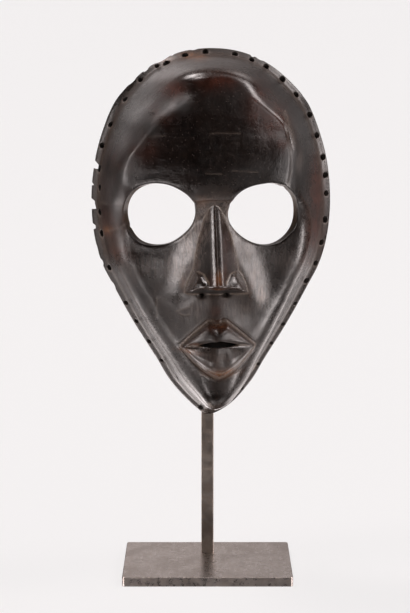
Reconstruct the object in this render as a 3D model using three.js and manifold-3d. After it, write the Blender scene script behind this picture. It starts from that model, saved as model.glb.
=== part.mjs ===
// A carved wooden face mask with large round eye holes, hung on a square steel post on a flat plate.
// Millimetres, +Z up. The origin is the middle of the plate's underside, and the face looks along -Y.
import * as THREE from "three";
import { mergeVertices } from "three/addons/utils/BufferGeometryUtils.js";
import Module from "manifold-3d";

const wasm = await Module();
wasm.setup();

// The stand
const plateWidth = 108;
const plateDepth = 78;
const plateThickness = 6;
const plateCornerRadius = 1.5;
const postSide = 8;
const postSetback = 52.5; // from the plate's front edge to the post's front face
const armReach = 30; // how far the arm at the post's top reaches into the mask

// The mask's overall size and how it hangs
const maskHeight = 235.5;
const maskTurn = THREE.MathUtils.degToRad(2); // it looks a little to the viewer's right
const maskOffset = 2.2; // from the post's middle to the mask's middle
const chinClearance = 94.2; // from the plate's top to the chin
const rimGap = 0.5; // between the mask's back and the post
const hangGap = 1.2; // between the hollow's roof and the arm

// The wood's thickness and its holes
const wallThickness = 9;
const rimThickness = 9.5;
const eyeFlare = 2.5; // how much wider an eye hole is at the back, all round
const eyeBevel = 2.4; // how much wider an eye hole is in front, on its outer side
const cordHoleDiameter = 4;
const cordHoleCount = 38;
const cordHoleDepth = 6.5; // from the back plane to a cord hole's middle
const nickDepth = 2.6; // how far the broken places bite into the rim's edge
const nicks = [[163.5, 3.4], [151, 2], [137.6, 6.6], [122, 4.6], [235.5, 2.2]]; // height and length

// The carving is drawn on a grid of its own. Half widths of the outline, from the chin to the crown
const outlineSteps = [
  [6, 11.5], [22, 26.2], [38, 35.8], [62, 50.6], [85, 63], [101, 71], [120, 76], [144, 77.6],
  [169, 75], [190, 69], [206, 61.8], [219, 50.6], [230, 36.8], [237.5, 19.6],
];
// Levels of the face, from the chin to the crown: the depth on the middle line and at the sides, how far
// out the sides lie, the bow of the curve between them, the left flank's slope, how much steeper the right
// flank is, the softness of the shoulder, and how much softer it is on the left.
const levels = [
  { at: 0, mid: 36, side: 30, reach: 26, bow: 2, hollow: 1, slope: 4.3, tilt: 0.8, soft: 7, ease: 0 },
  { at: 14, mid: 42, side: 30, reach: 30, bow: 2, hollow: 1, slope: 4.3, tilt: 1, soft: 7, ease: 0 },
  { at: 34, mid: 46, side: 31, reach: 38, bow: 1.6, hollow: 1.2, slope: 4.2, tilt: 0.5, soft: 6, ease: 0 },
  { at: 56, mid: 48.5, side: 32, reach: 50, bow: 1.3, hollow: 1.8, slope: 4.2, tilt: 0, soft: 6, ease: 0 },
  { at: 80, mid: 50, side: 33, reach: 62, bow: 1.1, hollow: 2.6, slope: 4, tilt: -0.2, soft: 7, ease: 0 },
  { at: 104, mid: 51.5, side: 34, reach: 72, bow: 1.1, hollow: 2.6, slope: 3.6, tilt: -0.2, soft: 8, ease: 0 },
  { at: 128, mid: 53, side: 36, reach: 78, bow: 1.15, hollow: 2.2, slope: 3, tilt: -0.05, soft: 11, ease: 0 },
  { at: 139, mid: 55, side: 39, reach: 80, bow: 1.4, hollow: 1.4, slope: 2.6, tilt: 0.05, soft: 13, ease: 0.1 },
  { at: 150, mid: 62.5, side: 42, reach: 80, bow: 2.1, hollow: 1, slope: 2.4, tilt: 0.2, soft: 15, ease: 0.3 },
  { at: 166, mid: 66, side: 45, reach: 79, bow: 2.2, hollow: 1, slope: 2.2, tilt: 0.5, soft: 16, ease: 0.7 },
  { at: 192, mid: 65, side: 46, reach: 75, bow: 2.2, hollow: 1, slope: 2.5, tilt: 0.65, soft: 15, ease: 0.8 },
  { at: 216, mid: 60, side: 45, reach: 68, bow: 2.2, hollow: 1, slope: 3.8, tilt: 0.4, soft: 12, ease: 0.4 },
  { at: 230, mid: 54, side: 43, reach: 62, bow: 2.2, hollow: 1, slope: 6, tilt: 0.05, soft: 9, ease: 0 },
  { at: 240, mid: 48, side: 40, reach: 58, bow: 2.2, hollow: 1, slope: 7, tilt: 0, soft: 8, ease: 0 },
];
const drawnHeight = levels[levels.length - 1].at;
const grid = maskHeight / drawnHeight;
const clearDepth = 0.4 * maskHeight; // well in front of the face
const middleHeight = 118;
const middle = new THREE.Vector2(0, middleHeight * grid); // the rings of the face run round it
const chinPoint = [-2.4, 0];
const crownPoint = [0, drawnHeight];
const tiltWidth = 14; // how far from the middle line the one flank's slope passes into the other's
const crestRound = 3; // how much the middle line is rounded over
const rimFlare = 3; // how far the rim's edge turns outwards
const flareSlope = 1.2;
const flareSoft = 2.5;

// The nose, from its root to its underside: half widths and depths of the ridge, the foot of the ridge's
// side, the crease of the nostril wing and the wing's outer edge.
const axisLean = THREE.MathUtils.degToRad(1.8); // the nose and mouth drift to one side going down
const noseSteps = [
  { at: 146, ridge: [2.4, 56.5], foot: [3.6, 54], crease: [4.2, 53.5], edge: [5, 53] },
  { at: 141, ridge: [3.2, 58], foot: [5, 54], crease: [5.6, 53], edge: [6.2, 52] },
  { at: 124, ridge: [3.4, 63], foot: [9.4, 53.5], crease: [10, 52.5], edge: [10.8, 48.5] },
  { at: 104.5, ridge: [3.5, 69.5], foot: [13, 54], crease: [13.8, 52.5], edge: [14.6, 47] },
  { at: 102.5, ridge: [3.5, 70], foot: [8.6, 61.5], crease: [12.6, 60.5], edge: [16.4, 47] },
  { at: 98.5, ridge: [3.6, 71.4], foot: [6, 66.5], crease: [14.4, 63], edge: [18.8, 47] },
  { at: 95, ridge: [3.8, 72.4], foot: [5.2, 70], crease: [16.4, 62.5], edge: [20.2, 47] },
  { at: 91, ridge: [3.8, 66], foot: [5.2, 64.5], crease: [13.5, 59], edge: [17.5, 46] },
];
const ridgeCrown = 1.4; // how far the ridge's rounded crown stands above its edges
const noseDroop = 6.2; // how much lower the wings' corners hang than the tip
const nostrilRadius = 2.2;
const nostrilDepth = 7;
const nostrilOffset = 8.5;
const nostrilPlace = [86.5, 57.5]; // height and depth
const nostrilSlope = THREE.MathUtils.degToRad(35);

// The lips: where they lie and how far they stand out across each lip, from the slit to the border
const mouthHalfWidth = 24.2;
const slitHeight = 55.6;
const cornerDrop = 2.4;
const upperLipHeight = 14.2;
const lowerLipHeight = 22.4;
const cupidShare = 0.25; // where the upper lip peaks, as a share of the way to the corner
const cupidNotch = 1.2;
const upperLipSteps = [[0, 5.5], [0.06, 8], [0.3, 9.8], [0.6, 10.2], [0.82, 9], [1, 3.5]];
const lowerLipSteps = [
  [0, 5.5], [0.06, 8], [0.3, 10.4], [0.54, 10.8], [0.74, 8.8], [0.79, 4.6], [1, 1.6],
];
const lowerLipBow = [1.5, 0.9];
const lipFullness = 0.55; // how quickly the lips swell from the corners
const cornerStand = 0.1;
const lipStations = [0.12, 0.25, 0.42, 0.6, 0.77, 0.9, 0.975]; // shares of the way to the corner
const lipBack = 40;
const slitHalfWidth = 12;
const slitHalfHeight = 2;
const slitPinch = 1.6; // how sharply the slit closes towards its ends
const slitFront = 57; // the depth at which the slit lies at its height
const slitRise = 0.25; // how much it climbs on its way into the hollow
const slitEnd = 20; // the slit opens into the hollow in front of this depth

// The eye holes: a circle drawn out a little towards the root of the nose
const eyeRadius = 20.7;
const eyeOffset = 31.9;
const eyeShift = -1.5;
const eyeHeight = 138;
const eyeStretch = 0.022;
const eyeStretchAngle = 0.44;
const eyeCorner = 0.036;
const eyeCornerAngle = 0.14;
const eyeFrontDepth = 48;
const eyeThroatDepth = 40;

// How finely the forms are faceted
const rimSegments = 76;
const eyeSegments = 30;
const slitSegments = 14;
const boreSides = 6;
const nostrilSides = 8;
const cornerSegments = 3;
const curveDivisions = 1200;
const slantReach = 2; // neighbours on each side over which the rings' slant is evened out
const halvings = 30; // steps of the search for the roof
const faceRings = 9;
const hollowRings = 5;
const outerBands = [0, 1.8, 3.6, 5.6, 8, 11, 14.5, 18.5, 24]; // ring distances from the outline
const innerBands = [0, 2, 5, 9, 15];

const wood = new THREE.MeshStandardMaterial({ color: 0x241a16, roughness: 0.35, metalness: 0 });
const postSteel = new THREE.MeshStandardMaterial({ color: 0x57504a, roughness: 0.4, metalness: 0.8 });
const plateSteel = new THREE.MeshStandardMaterial({ color: 0x6a625c, roughness: 0.35, metalness: 0.8 });

const mix = THREE.MathUtils.lerp;
const clamp = THREE.MathUtils.clamp;

// A smooth lower and upper envelope of two heights
function smoothMin(a, b, soft) {
  const near = Math.max(soft - Math.abs(a - b), 0) / soft;
  return Math.min(a, b) - (near * near * soft) / 4;
}
function smoothMax(a, b, soft) {
  return -smoothMin(-a, -b, soft);
}

// A curve through [place, value] steps, with no overshoot at the ends
function through(steps, place) {
  const last = steps.length - 1;
  if (place <= steps[0][0]) return steps[0][1];
  if (place >= steps[last][0]) return steps[last][1];
  let i = 0;
  while (steps[i + 1][0] < place) i += 1;
  const slopeAt = (k) => {
    const a = steps[Math.max(k - 1, 0)];
    const b = steps[Math.min(k + 1, last)];
    return (b[1] - a[1]) / (b[0] - a[0]);
  };
  const span = steps[i + 1][0] - steps[i][0];
  const t = (place - steps[i][0]) / span;
  const rise = steps[i + 1][1] - steps[i][1];
  const bendIn = slopeAt(i) * span - rise;
  const bendOut = rise - slopeAt(i + 1) * span;
  return steps[i][1] + t * rise + t * (1 - t) * (bendIn * (1 - t) + bendOut * t);
}

// The outline as evenly spaced points, each with its distance and slant from the middle
function outlinePoints() {
  const right = outlineSteps.map(([z, w]) => new THREE.Vector3(w, z, 0));
  const left = outlineSteps.map(([z, w]) => new THREE.Vector3(-w, z, 0)).reverse();
  const loop = [new THREE.Vector3(...chinPoint, 0), ...right, new THREE.Vector3(...crownPoint, 0), ...left];
  const curve = new THREE.CatmullRomCurve3(loop, true, "centripetal");
  curve.arcLengthDivisions = curveDivisions;
  const points = [];
  for (let i = 0; i < rimSegments; i += 1) {
    const share = i / rimSegments;
    const p = curve.getPointAt(share).multiplyScalar(grid);
    const tangent = curve.getTangentAt(share);
    const point = new THREE.Vector2(p.x, p.y);
    const normal = new THREE.Vector2(tangent.y, -tangent.x);
    const ray = point.clone().sub(middle);
    const reach = ray.length();
    ray.normalize();
    points.push({ point, normal, ray, reach, slant: ray.dot(normal) });
  }
  const slants = points.map(({ slant }) => slant);
  points.forEach((spot, i) => {
    let sum = 0;
    for (let k = -slantReach; k <= slantReach; k += 1) {
      sum += slants[(i + k + rimSegments) % rimSegments];
    }
    spot.slant = sum / (2 * slantReach + 1);
  });
  return points;
}
const outline = outlinePoints();

// One quality of the face at a height
function level(name, z) {
  return through(levels.map((row) => [row.at, row[name]]), z / grid);
}

// The depth of the front of the face, before the flank cuts it off
function front(x, z) {
  const side = level("side", z);
  const out = clamp(Math.hypot(x / grid, crestRound) / level("reach", z), 0, 1);
  const fall = Math.pow(1 - Math.pow(out, level("bow", z)), level("hollow", z));
  return (side + (level("mid", z) - side) * fall) * grid;
}

// The depth of the flank at a distance inside the outline
function rightness(x) {
  return THREE.MathUtils.smoothstep(x / grid, -tiltWidth, tiltWidth);
}
function flankSlope(x, z) {
  return level("slope", z) * (1 + level("tilt", z) * rightness(x));
}
function softness(x, z) {
  return level("soft", z) * (1 + level("ease", z) * (1 - rightness(x))) * grid;
}
function flank(x, z, distance) {
  const steep = flankSlope(x, z) * (distance - rimFlare);
  return smoothMax(flareSlope * distance, steep, flareSoft);
}
function outerDepth(x, z, distance) {
  return smoothMin(front(x, z), flank(x, z, distance), softness(x, z));
}
function innerDepth(x, z, distance) {
  const roof = front(x, z) - wallThickness;
  const side = flankSlope(x, z) * (distance - rimThickness);
  return smoothMin(roof, side, softness(x, z));
}

// A closed mesh over rings of equal counts, closed at each end with a point
function loft(rings, firstPole, lastPole) {
  const count = rings[0].length;
  const vertices = [firstPole, ...rings.flat(), lastPole];
  const index = [];
  const at = (r, i) => 1 + r * count + (i % count);
  for (let i = 0; i < count; i += 1) {
    index.push(0, at(0, i), at(0, i + 1));
    index.push(vertices.length - 1, at(rings.length - 1, i + 1), at(rings.length - 1, i));
    for (let r = 0; r + 1 < rings.length; r += 1) {
      index.push(at(r, i), at(r + 1, i), at(r + 1, i + 1));
      index.push(at(r, i), at(r + 1, i + 1), at(r, i + 1));
    }
  }
  const geometry = new THREE.BufferGeometry();
  const flat = vertices.flatMap((v) => v.toArray());
  geometry.setAttribute("position", new THREE.Float32BufferAttribute(flat, 3));
  geometry.setIndex(index);
  return geometry;
}
function centreOf(ring) {
  return ring.reduce((sum, v) => sum.add(v), new THREE.Vector3()).divideScalar(ring.length);
}
function closedLoft(rings) {
  return loft(rings, centreOf(rings[0]), centreOf(rings[rings.length - 1]));
}

// Between three.js meshes and solids that can be joined and cut
function solid(geometry) {
  const bare = geometry.clone();
  bare.deleteAttribute("normal");
  bare.deleteAttribute("uv");
  const merged = mergeVertices(bare, 1e-4);
  const made = new wasm.Manifold(
    new wasm.Mesh({
      numProp: 3,
      vertProperties: merged.attributes.position.array,
      triVerts: new Uint32Array(merged.index.array),
    }),
  );
  return made;
}
function geometryOf(body) {
  const { vertProperties, triVerts } = body.getMesh();
  const geometry = new THREE.BufferGeometry();
  geometry.setAttribute("position", new THREE.BufferAttribute(new Float32Array(vertProperties), 3));
  geometry.setIndex(new THREE.BufferAttribute(new Uint32Array(triVerts), 1));
  const flat = geometry.toNonIndexed();
  flat.computeVertexNormals();
  return flat;
}

// A point of the mask: across, up, and forward from its back plane
function place(x, z, depth) {
  return new THREE.Vector3(x, -depth, z);
}

// A ring of the face at a distance inside the outline
function bandPoint(spot, distance) {
  const back = distance / spot.slant;
  return spot.point.clone().addScaledVector(spot.ray, -back);
}
function ringOf(distanceOf, depthOf) {
  return outline.map((spot) => {
    const distance = distanceOf(spot);
    const p = bandPoint(spot, distance);
    return place(p.x, p.y, depthOf(p.x, p.y, distance));
  });
}
function innermost(spot, start, share) {
  return mix(start, spot.reach * spot.slant, share);
}

// The mask's shell: the face and flanks outside, the flat rim, and the hollow behind
function shell() {
  const lastBand = outerBands[outerBands.length - 1];
  const lastInner = rimThickness + innerBands[innerBands.length - 1];
  const rings = [];
  for (let j = faceRings - 1; j > 0; j -= 1) {
    rings.push(ringOf((spot) => innermost(spot, lastBand, j / faceRings), outerDepth));
  }
  for (const band of [...outerBands].reverse()) {
    rings.push(ringOf(() => band, (x, z, d) => Math.max(outerDepth(x, z, d), 0)));
  }
  for (const band of innerBands) {
    rings.push(ringOf(() => rimThickness + band, (x, z, d) => Math.max(innerDepth(x, z, d), 0)));
  }
  for (let j = 1; j < hollowRings; j += 1) {
    rings.push(ringOf((spot) => innermost(spot, lastInner, j / hollowRings), innerDepth));
  }
  const far = middle.y; // the chin is the nearest edge
  const pole = place(middle.x, middle.y, outerDepth(middle.x, middle.y, far));
  const innerPole = place(middle.x, middle.y, innerDepth(middle.x, middle.y, far));
  return solid(loft(rings, pole, innerPole));
}

// The nose and its wings, as level slices from the root to the underside
function axisAt(z) {
  return (noseSteps[0].at * grid - z) * Math.tan(axisLean);
}
function droop(x, at) {
  const low = clamp((noseSteps[2].at - at) / (noseSteps[2].at - noseSteps[6].at), 0, 1);
  return noseDroop * low * Math.pow(x / noseSteps[6].edge[0], 2);
}
function nose() {
  const rings = noseSteps.map((step) => {
    const right = [step.ridge, step.foot, step.crease, step.edge];
    const left = right.map(([x, depth]) => [-x, depth]).reverse();
    const crown = [0, step.ridge[1] + ridgeCrown];
    return [crown, ...right, ...left].map(([x, depth]) => {
      const z = (step.at - droop(x, step.at)) * grid;
      return place(x * grid + axisAt(z), z, depth * grid);
    });
  });
  return solid(closedLoft(rings));
}
function nostril(side) {
  const radius = nostrilRadius * grid;
  const bore = new THREE.CylinderGeometry(radius, radius, 2 * nostrilDepth * grid, nostrilSides);
  const [height, depth] = nostrilPlace.map((v) => v * grid);
  bore.rotateX(nostrilSlope);
  bore.translate(side * nostrilOffset * grid + axisAt(height), -depth, height);
  return solid(bore);
}

// The lips: slices from one corner of the mouth to the other
function lipSection(share) {
  const out = Math.abs(share);
  const rise = clamp((1 - out) / (1 - cupidShare), 0, 1);
  const notch = cupidNotch * Math.max(1 - out / cupidShare, 0);
  const top = upperLipHeight * rise - notch;
  const low = lowerLipHeight * Math.pow(1 - Math.pow(out, lowerLipBow[0]), lowerLipBow[1]);
  const slit = slitHeight - cornerDrop * out * out;
  const stand = mix(cornerStand, 1, Math.pow(1 - out * out, lipFullness));
  const point = (z, depth) => {
    const x = share * mouthHalfWidth * grid + axisAt(z * grid);
    return place(x, z * grid, depth(x, z * grid));
  };
  const standing = (height) => (x, z) => front(x, z) + height * stand * grid;
  return [
    ...[...lowerLipSteps].reverse().map(([v, height]) => point(slit - v * low, standing(height))),
    ...upperLipSteps.slice(1).map(([v, height]) => point(slit + v * top, standing(height))),
    point(slit + top, () => lipBack * grid),
    point(slit - low, () => lipBack * grid),
  ];
}
function lips() {
  const shares = [...lipStations.map((v) => -v).reverse(), 0, ...lipStations];
  return solid(closedLoft(shares.map(lipSection)));
}

// The eye holes and the slit of the mouth, from front to back
function eyeShape(side, bevel, wider, depth) {
  const centreX = (side * eyeOffset + eyeShift) * grid;
  const centreZ = eyeHeight * grid;
  const points = [];
  for (let i = 0; i < eyeSegments; i += 1) {
    const a = (2 * Math.PI * i) / eyeSegments;
    const oval = eyeStretch * Math.cos(2 * (a - eyeStretchAngle));
    const corner = eyeCorner * Math.cos(3 * (a - eyeCornerAngle));
    const outwards = bevel * Math.max(-Math.cos(a), 0);
    const r = eyeRadius * grid * (1 + oval + corner) + wider + outwards;
    points.push(place(centreX - side * r * Math.cos(a), centreZ + r * Math.sin(a), depth));
  }
  return side > 0 ? points.reverse() : points;
}
function eyeHole(side) {
  return solid(
    closedLoft([
      eyeShape(side, eyeBevel, 0, clearDepth),
      eyeShape(side, eyeBevel, 0, eyeFrontDepth * grid),
      eyeShape(side, 0, 0, eyeThroatDepth * grid),
      eyeShape(side, 0, eyeFlare, -1),
    ]),
  );
}
function mouthSlit() {
  const z = slitHeight * grid;
  const ring = (depth) =>
    Array.from({ length: slitSegments }, (_, i) => {
      const a = (2 * Math.PI * i) / slitSegments;
      const high = slitHalfHeight * Math.pow(Math.abs(Math.sin(a)), slitPinch) * Math.sign(Math.sin(a));
      const climb = slitRise * (slitFront * grid - depth);
      return place(slitHalfWidth * grid * Math.cos(a) + axisAt(z), z + high * grid + climb, depth);
    });
  return solid(closedLoft([ring(clearDepth), ring(slitEnd * grid)]));
}

// Cord holes all round the flank
function cordHoles() {
  const holes = [];
  const step = rimSegments / cordHoleCount;
  const radius = cordHoleDiameter / 2;
  for (let i = 0; i < cordHoleCount; i += 1) {
    const spot = outline[Math.round((i + 0.5) * step) % rimSegments];
    const bore = new THREE.CylinderGeometry(radius, radius, 3 * rimThickness, boreSides);
    bore.rotateZ(Math.PI / 2 + Math.atan2(spot.normal.y, spot.normal.x));
    bore.rotateX(Math.PI / 2);
    bore.translate(spot.point.x, -cordHoleDepth, spot.point.y);
    holes.push(solid(bore));
  }
  return holes;
}

// Broken places in the rim's left edge
function edgeAt(height) {
  const left = outline.filter(({ point }) => point.x < 0);
  return left.reduce((a, b) => (Math.abs(a.point.y - height) < Math.abs(b.point.y - height) ? a : b));
}
function rimNicks() {
  return nicks.map(([height, length]) => {
    const spot = edgeAt(height * grid);
    const bite = new THREE.BoxGeometry(2 * nickDepth, 2 * rimThickness, length * grid);
    bite.rotateY(-Math.atan2(spot.normal.y, spot.normal.x));
    bite.translate(spot.point.x, 0, height * grid);
    return solid(bite);
  });
}

function buildMask() {
  let body = shell().add(nose()).add(lips());
  for (const side of [-1, 1]) body = body.subtract(eyeHole(side)).subtract(nostril(side));
  body = body.subtract(mouthSlit());
  for (const cut of [...cordHoles(), ...rimNicks()]) body = body.subtract(cut);
  return geometryOf(body);
}

// The post: a square bar behind the mask's back plane that turns forward under the hollow's roof
function roofHeight(x, depth) {
  let [low, high] = [middle.y, maskHeight];
  for (let i = 0; i < halvings; i += 1) {
    const z = (low + high) / 2;
    if (innerDepth(x, z, maskHeight - z) > depth) low = z;
    else high = z;
  }
  return low;
}
function roofOver(side) {
  const corner = new THREE.Vector2(side * (postSide / 2) - maskOffset, -armReach);
  corner.rotateAround(new THREE.Vector2(), -maskTurn);
  return roofHeight(corner.x, -corner.y);
}
function buildPost(face) {
  const top = maskBase + Math.min(roofOver(-1), roofOver(1)) - hangGap;
  const bend = new THREE.Shape();
  bend.moveTo(face, plateThickness);
  bend.lineTo(face, top - postSide);
  bend.lineTo(face - rimGap - armReach, top - postSide);
  bend.lineTo(face - rimGap - armReach, top);
  bend.lineTo(face + postSide, top);
  bend.lineTo(face + postSide, plateThickness);
  bend.closePath();
  const bar = new THREE.ExtrudeGeometry(bend, { depth: postSide, bevelEnabled: false });
  bar.translate(0, 0, -postSide / 2);
  bar.rotateY(Math.PI / 2);
  bar.rotateX(Math.PI / 2);
  return bar;
}

// The plate: a flat bar's end with its upright corners just rounded
function buildPlate() {
  const [w, d, r] = [plateWidth / 2, plateDepth / 2, plateCornerRadius];
  const sheet = new THREE.Shape();
  sheet.absarc(w - r, d - r, r, 0, Math.PI / 2);
  sheet.absarc(r - w, d - r, r, Math.PI / 2, Math.PI);
  sheet.absarc(r - w, r - d, r, Math.PI, 1.5 * Math.PI);
  sheet.absarc(w - r, r - d, r, 1.5 * Math.PI, 2 * Math.PI);
  const thickness = { depth: plateThickness, bevelEnabled: false, curveSegments: cornerSegments };
  return new THREE.ExtrudeGeometry(sheet, thickness);
}

const object = new THREE.Group();
const maskBase = plateThickness + chinClearance;
const postFront = postSetback - plateDepth / 2;

const mask = new THREE.Mesh(buildMask(), wood);
mask.name = "mask";
mask.position.set(maskOffset, postFront - rimGap, maskBase);
mask.rotation.z = maskTurn;

const post = new THREE.Mesh(buildPost(postFront), postSteel);
post.name = "stand_post";

const plate = new THREE.Mesh(buildPlate(), plateSteel);
plate.name = "base_plate";

object.add(mask, post, plate);

export default object;
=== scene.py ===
import math

import bpy
import numpy as np
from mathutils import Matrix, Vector
from mathutils.geometry import delaunay_2d_cdt


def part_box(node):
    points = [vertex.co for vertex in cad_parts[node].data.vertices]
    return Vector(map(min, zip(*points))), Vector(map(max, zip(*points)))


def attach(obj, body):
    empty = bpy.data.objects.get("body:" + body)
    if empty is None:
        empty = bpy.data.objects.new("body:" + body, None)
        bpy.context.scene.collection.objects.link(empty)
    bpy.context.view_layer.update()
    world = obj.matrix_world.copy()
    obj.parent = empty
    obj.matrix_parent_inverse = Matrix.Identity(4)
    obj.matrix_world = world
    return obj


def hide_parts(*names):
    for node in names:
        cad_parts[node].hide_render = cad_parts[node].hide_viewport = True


MM = 0.001
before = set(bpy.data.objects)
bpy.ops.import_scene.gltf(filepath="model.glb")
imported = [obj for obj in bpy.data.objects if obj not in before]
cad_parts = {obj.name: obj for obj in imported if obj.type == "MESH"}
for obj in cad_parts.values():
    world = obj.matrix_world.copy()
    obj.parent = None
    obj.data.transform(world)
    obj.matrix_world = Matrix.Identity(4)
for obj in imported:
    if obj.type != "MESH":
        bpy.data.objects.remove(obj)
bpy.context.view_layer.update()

# Sizes shared with the solids, in millimetres
MASK_HEIGHT = 235.5
MASK_TURN = math.radians(2)
MASK_PLACE = (2.2, 13.0, 100.2)
WALL = 9.0
RIM = 9.5
PLATE = (108.0, 78.0, 6.0)
PLATE_CORNER = 1.5
PLATE_EDGE = 0.35
POST_SIDE = 8.0
POST_EDGE = 0.4
POST_FRONT = 13.5
POST_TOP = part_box("stand_post")[1][2] / MM
ARM_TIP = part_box("stand_post")[0][1] / MM

# The carving is drawn on a grid 240 high.
DRAWN = 240.0
GRID = MASK_HEIGHT / DRAWN
MIDDLE = (0.0, 118.0)
# The outline's half widths up the mask's height, and the point of the chin
OUTLINE = [
    (6, 11.5), (22, 26.2), (38, 35.8), (62, 50.6), (85, 63), (101, 71), (120, 76), (144, 77.6),
    (169, 75), (190, 69), (206, 61.8), (219, 50.6), (230, 36.8), (237.5, 19.6),
]
CHIN = (-2.4, 0.0)
# The front and the flanks at heights up the mask. mid and side are the front's depth in its middle and at
# its sides, reach how far out it goes, bow and hollow the curve between them; slope is the flank's, and tilt
# how it differs on the right; soft and ease say how softly the two join, and round is the turn's radius.
LEVELS = {
    "at": (0, 14, 34, 56, 80, 104, 128, 139, 150, 166, 192, 216, 230, 240),
    "mid": (36, 42, 46, 48.5, 50, 51.5, 53, 55, 62.5, 66, 65, 60, 54, 48),
    "side": (30, 30, 31, 32, 33, 34, 36, 39, 42, 45, 46, 45, 43, 40),
    "reach": (26, 30, 38, 50, 62, 72, 78, 80, 80, 79, 75, 68, 62, 58),
    "bow": (2, 2, 1.6, 1.3, 1.1, 1.1, 1.15, 1.4, 2.1, 2.2, 2.2, 2.2, 2.2, 2.2),
    "hollow": (1, 1, 1.2, 1.8, 2.6, 2.6, 2.2, 1.4, 1, 1, 1, 1, 1, 1),
    "slope": (4.3, 4.3, 4.2, 4.2, 4, 3.6, 3.3, 3.6, 4.0, 4.4, 3.2, 3.4, 6, 7),
    "tilt": (0.8, 1, 0.5, 0, -0.2, -0.2, -0.18, -0.28, -0.4, -0.38, 0.1, 0.12, 0.0, 0),
    "soft": (9, 9, 9, 10, 11, 12, 13, 13, 14, 14, 13, 11, 9, 8),
    "round": (6, 8, 11, 12, 12, 12, 12, 12, 11, 9, 8, 8, 8, 8),
    "ease": (0, 0, 0, 0, 0, 0, 0, 0, 0.1, 0.3, 0.6, 0.6, 0.2, 0),
}
TILT_WIDTH = 14.0
RIM_FLARE = 3.0
FLARE_SLOPE = 1.2
FLARE_BLEND = 2.5
RIM_BEAD = 1.1
BEAD_WIDTH = 2.5
# How blunt the crest down the middle of the front is, below and above the two heights
CREST_LOW = 8.0
CREST_HIGH = 3.0
CREST_HEIGHTS = (84, 112)
# Between these heights the rounded turn of the flank gives way to the softer one of the forehead.
TURN_HEIGHTS = (146, 172)
AXIS_LEAN = math.radians(1.8)
NOSE_ROOT = 146.0
# Corners of the nose's slices at heights, each by its half width and depth
NOSE = {
    "at": (80, 95, 98.5, 102.5, 104.5, 124, 141, 146),
    "ridge": (
        (3.8, 72.4), (3.8, 72.4), (3.6, 71.4), (3.5, 70), (3.5, 69.5), (3.4, 63), (3.2, 58), (2.4, 56.5),
    ),
    "foot": (
        (5.2, 70), (5.2, 70), (6, 66.5), (8.6, 61.5), (13, 54), (9.4, 53.5), (5, 54), (3.6, 54),
    ),
    "crease": (
        (16.4, 62.5), (16.4, 62.5), (14, 63), (11.8, 60.8), (13.8, 52.5), (10, 52.5), (5.6, 53), (4.2, 53.5),
    ),
    "edge": (
        (20.2, 47), (20.2, 47), (18.8, 47), (16.4, 47), (14.6, 47), (10.8, 48.5), (6.2, 52), (5, 53),
    ),
}
RIDGE_CROWN = 2.2
WING_HALF = 20.0
WING_LIMIT = 1.2
WING_TOP = (103.6, 102.2)
WING_BULGES = (0.0, 0.9, 0.6)
UNDERSIDE = 86.6
UNDERSIDE_TOP = 95.5
NOSE_DROOP = 6.2
DROOP_FROM = 124.0
DROOP_FULL = 95.0
MOUTH_HALF = 24.2
SLIT = 55.6
CORNER_DROP = 2.4
UPPER_LIP = 14.2
LOWER_LIP = 22.4
CUPID = 0.25
CUPID_NOTCH = 1.6
# How far each lip stands out from the slit to its border, by share of its height
UPPER_BODY = ((0, 5.5), (0.03, 7.4), (0.09, 8.7), (0.35, 9.9), (0.7, 10.2), (0.92, 9.8), (1, 9.2))
LOWER_BODY = ((0, 5.5), (0.03, 7.4), (0.09, 8.6), (0.3, 9.8), (0.58, 10.9), (0.8, 10.5), (0.93, 9.3), (1, 8))
UPPER_BORDER_FALL = 5.2
LOWER_BORDER = 4.0
LOWER_BORDER_FALL = 1.2
# The lower lip's shallow dent right of its middle: its place, width and depth
LIP_DENT = (3.2, 3.4, 0.8)
SLIT_HALF = (12.0, 2.0)
SLIT_PLACE = 3.3
EYE = {"radius": 20.7, "offset": 31.9, "shift": -1.5, "height": 138.0, "bevel": 2.4}
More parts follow.
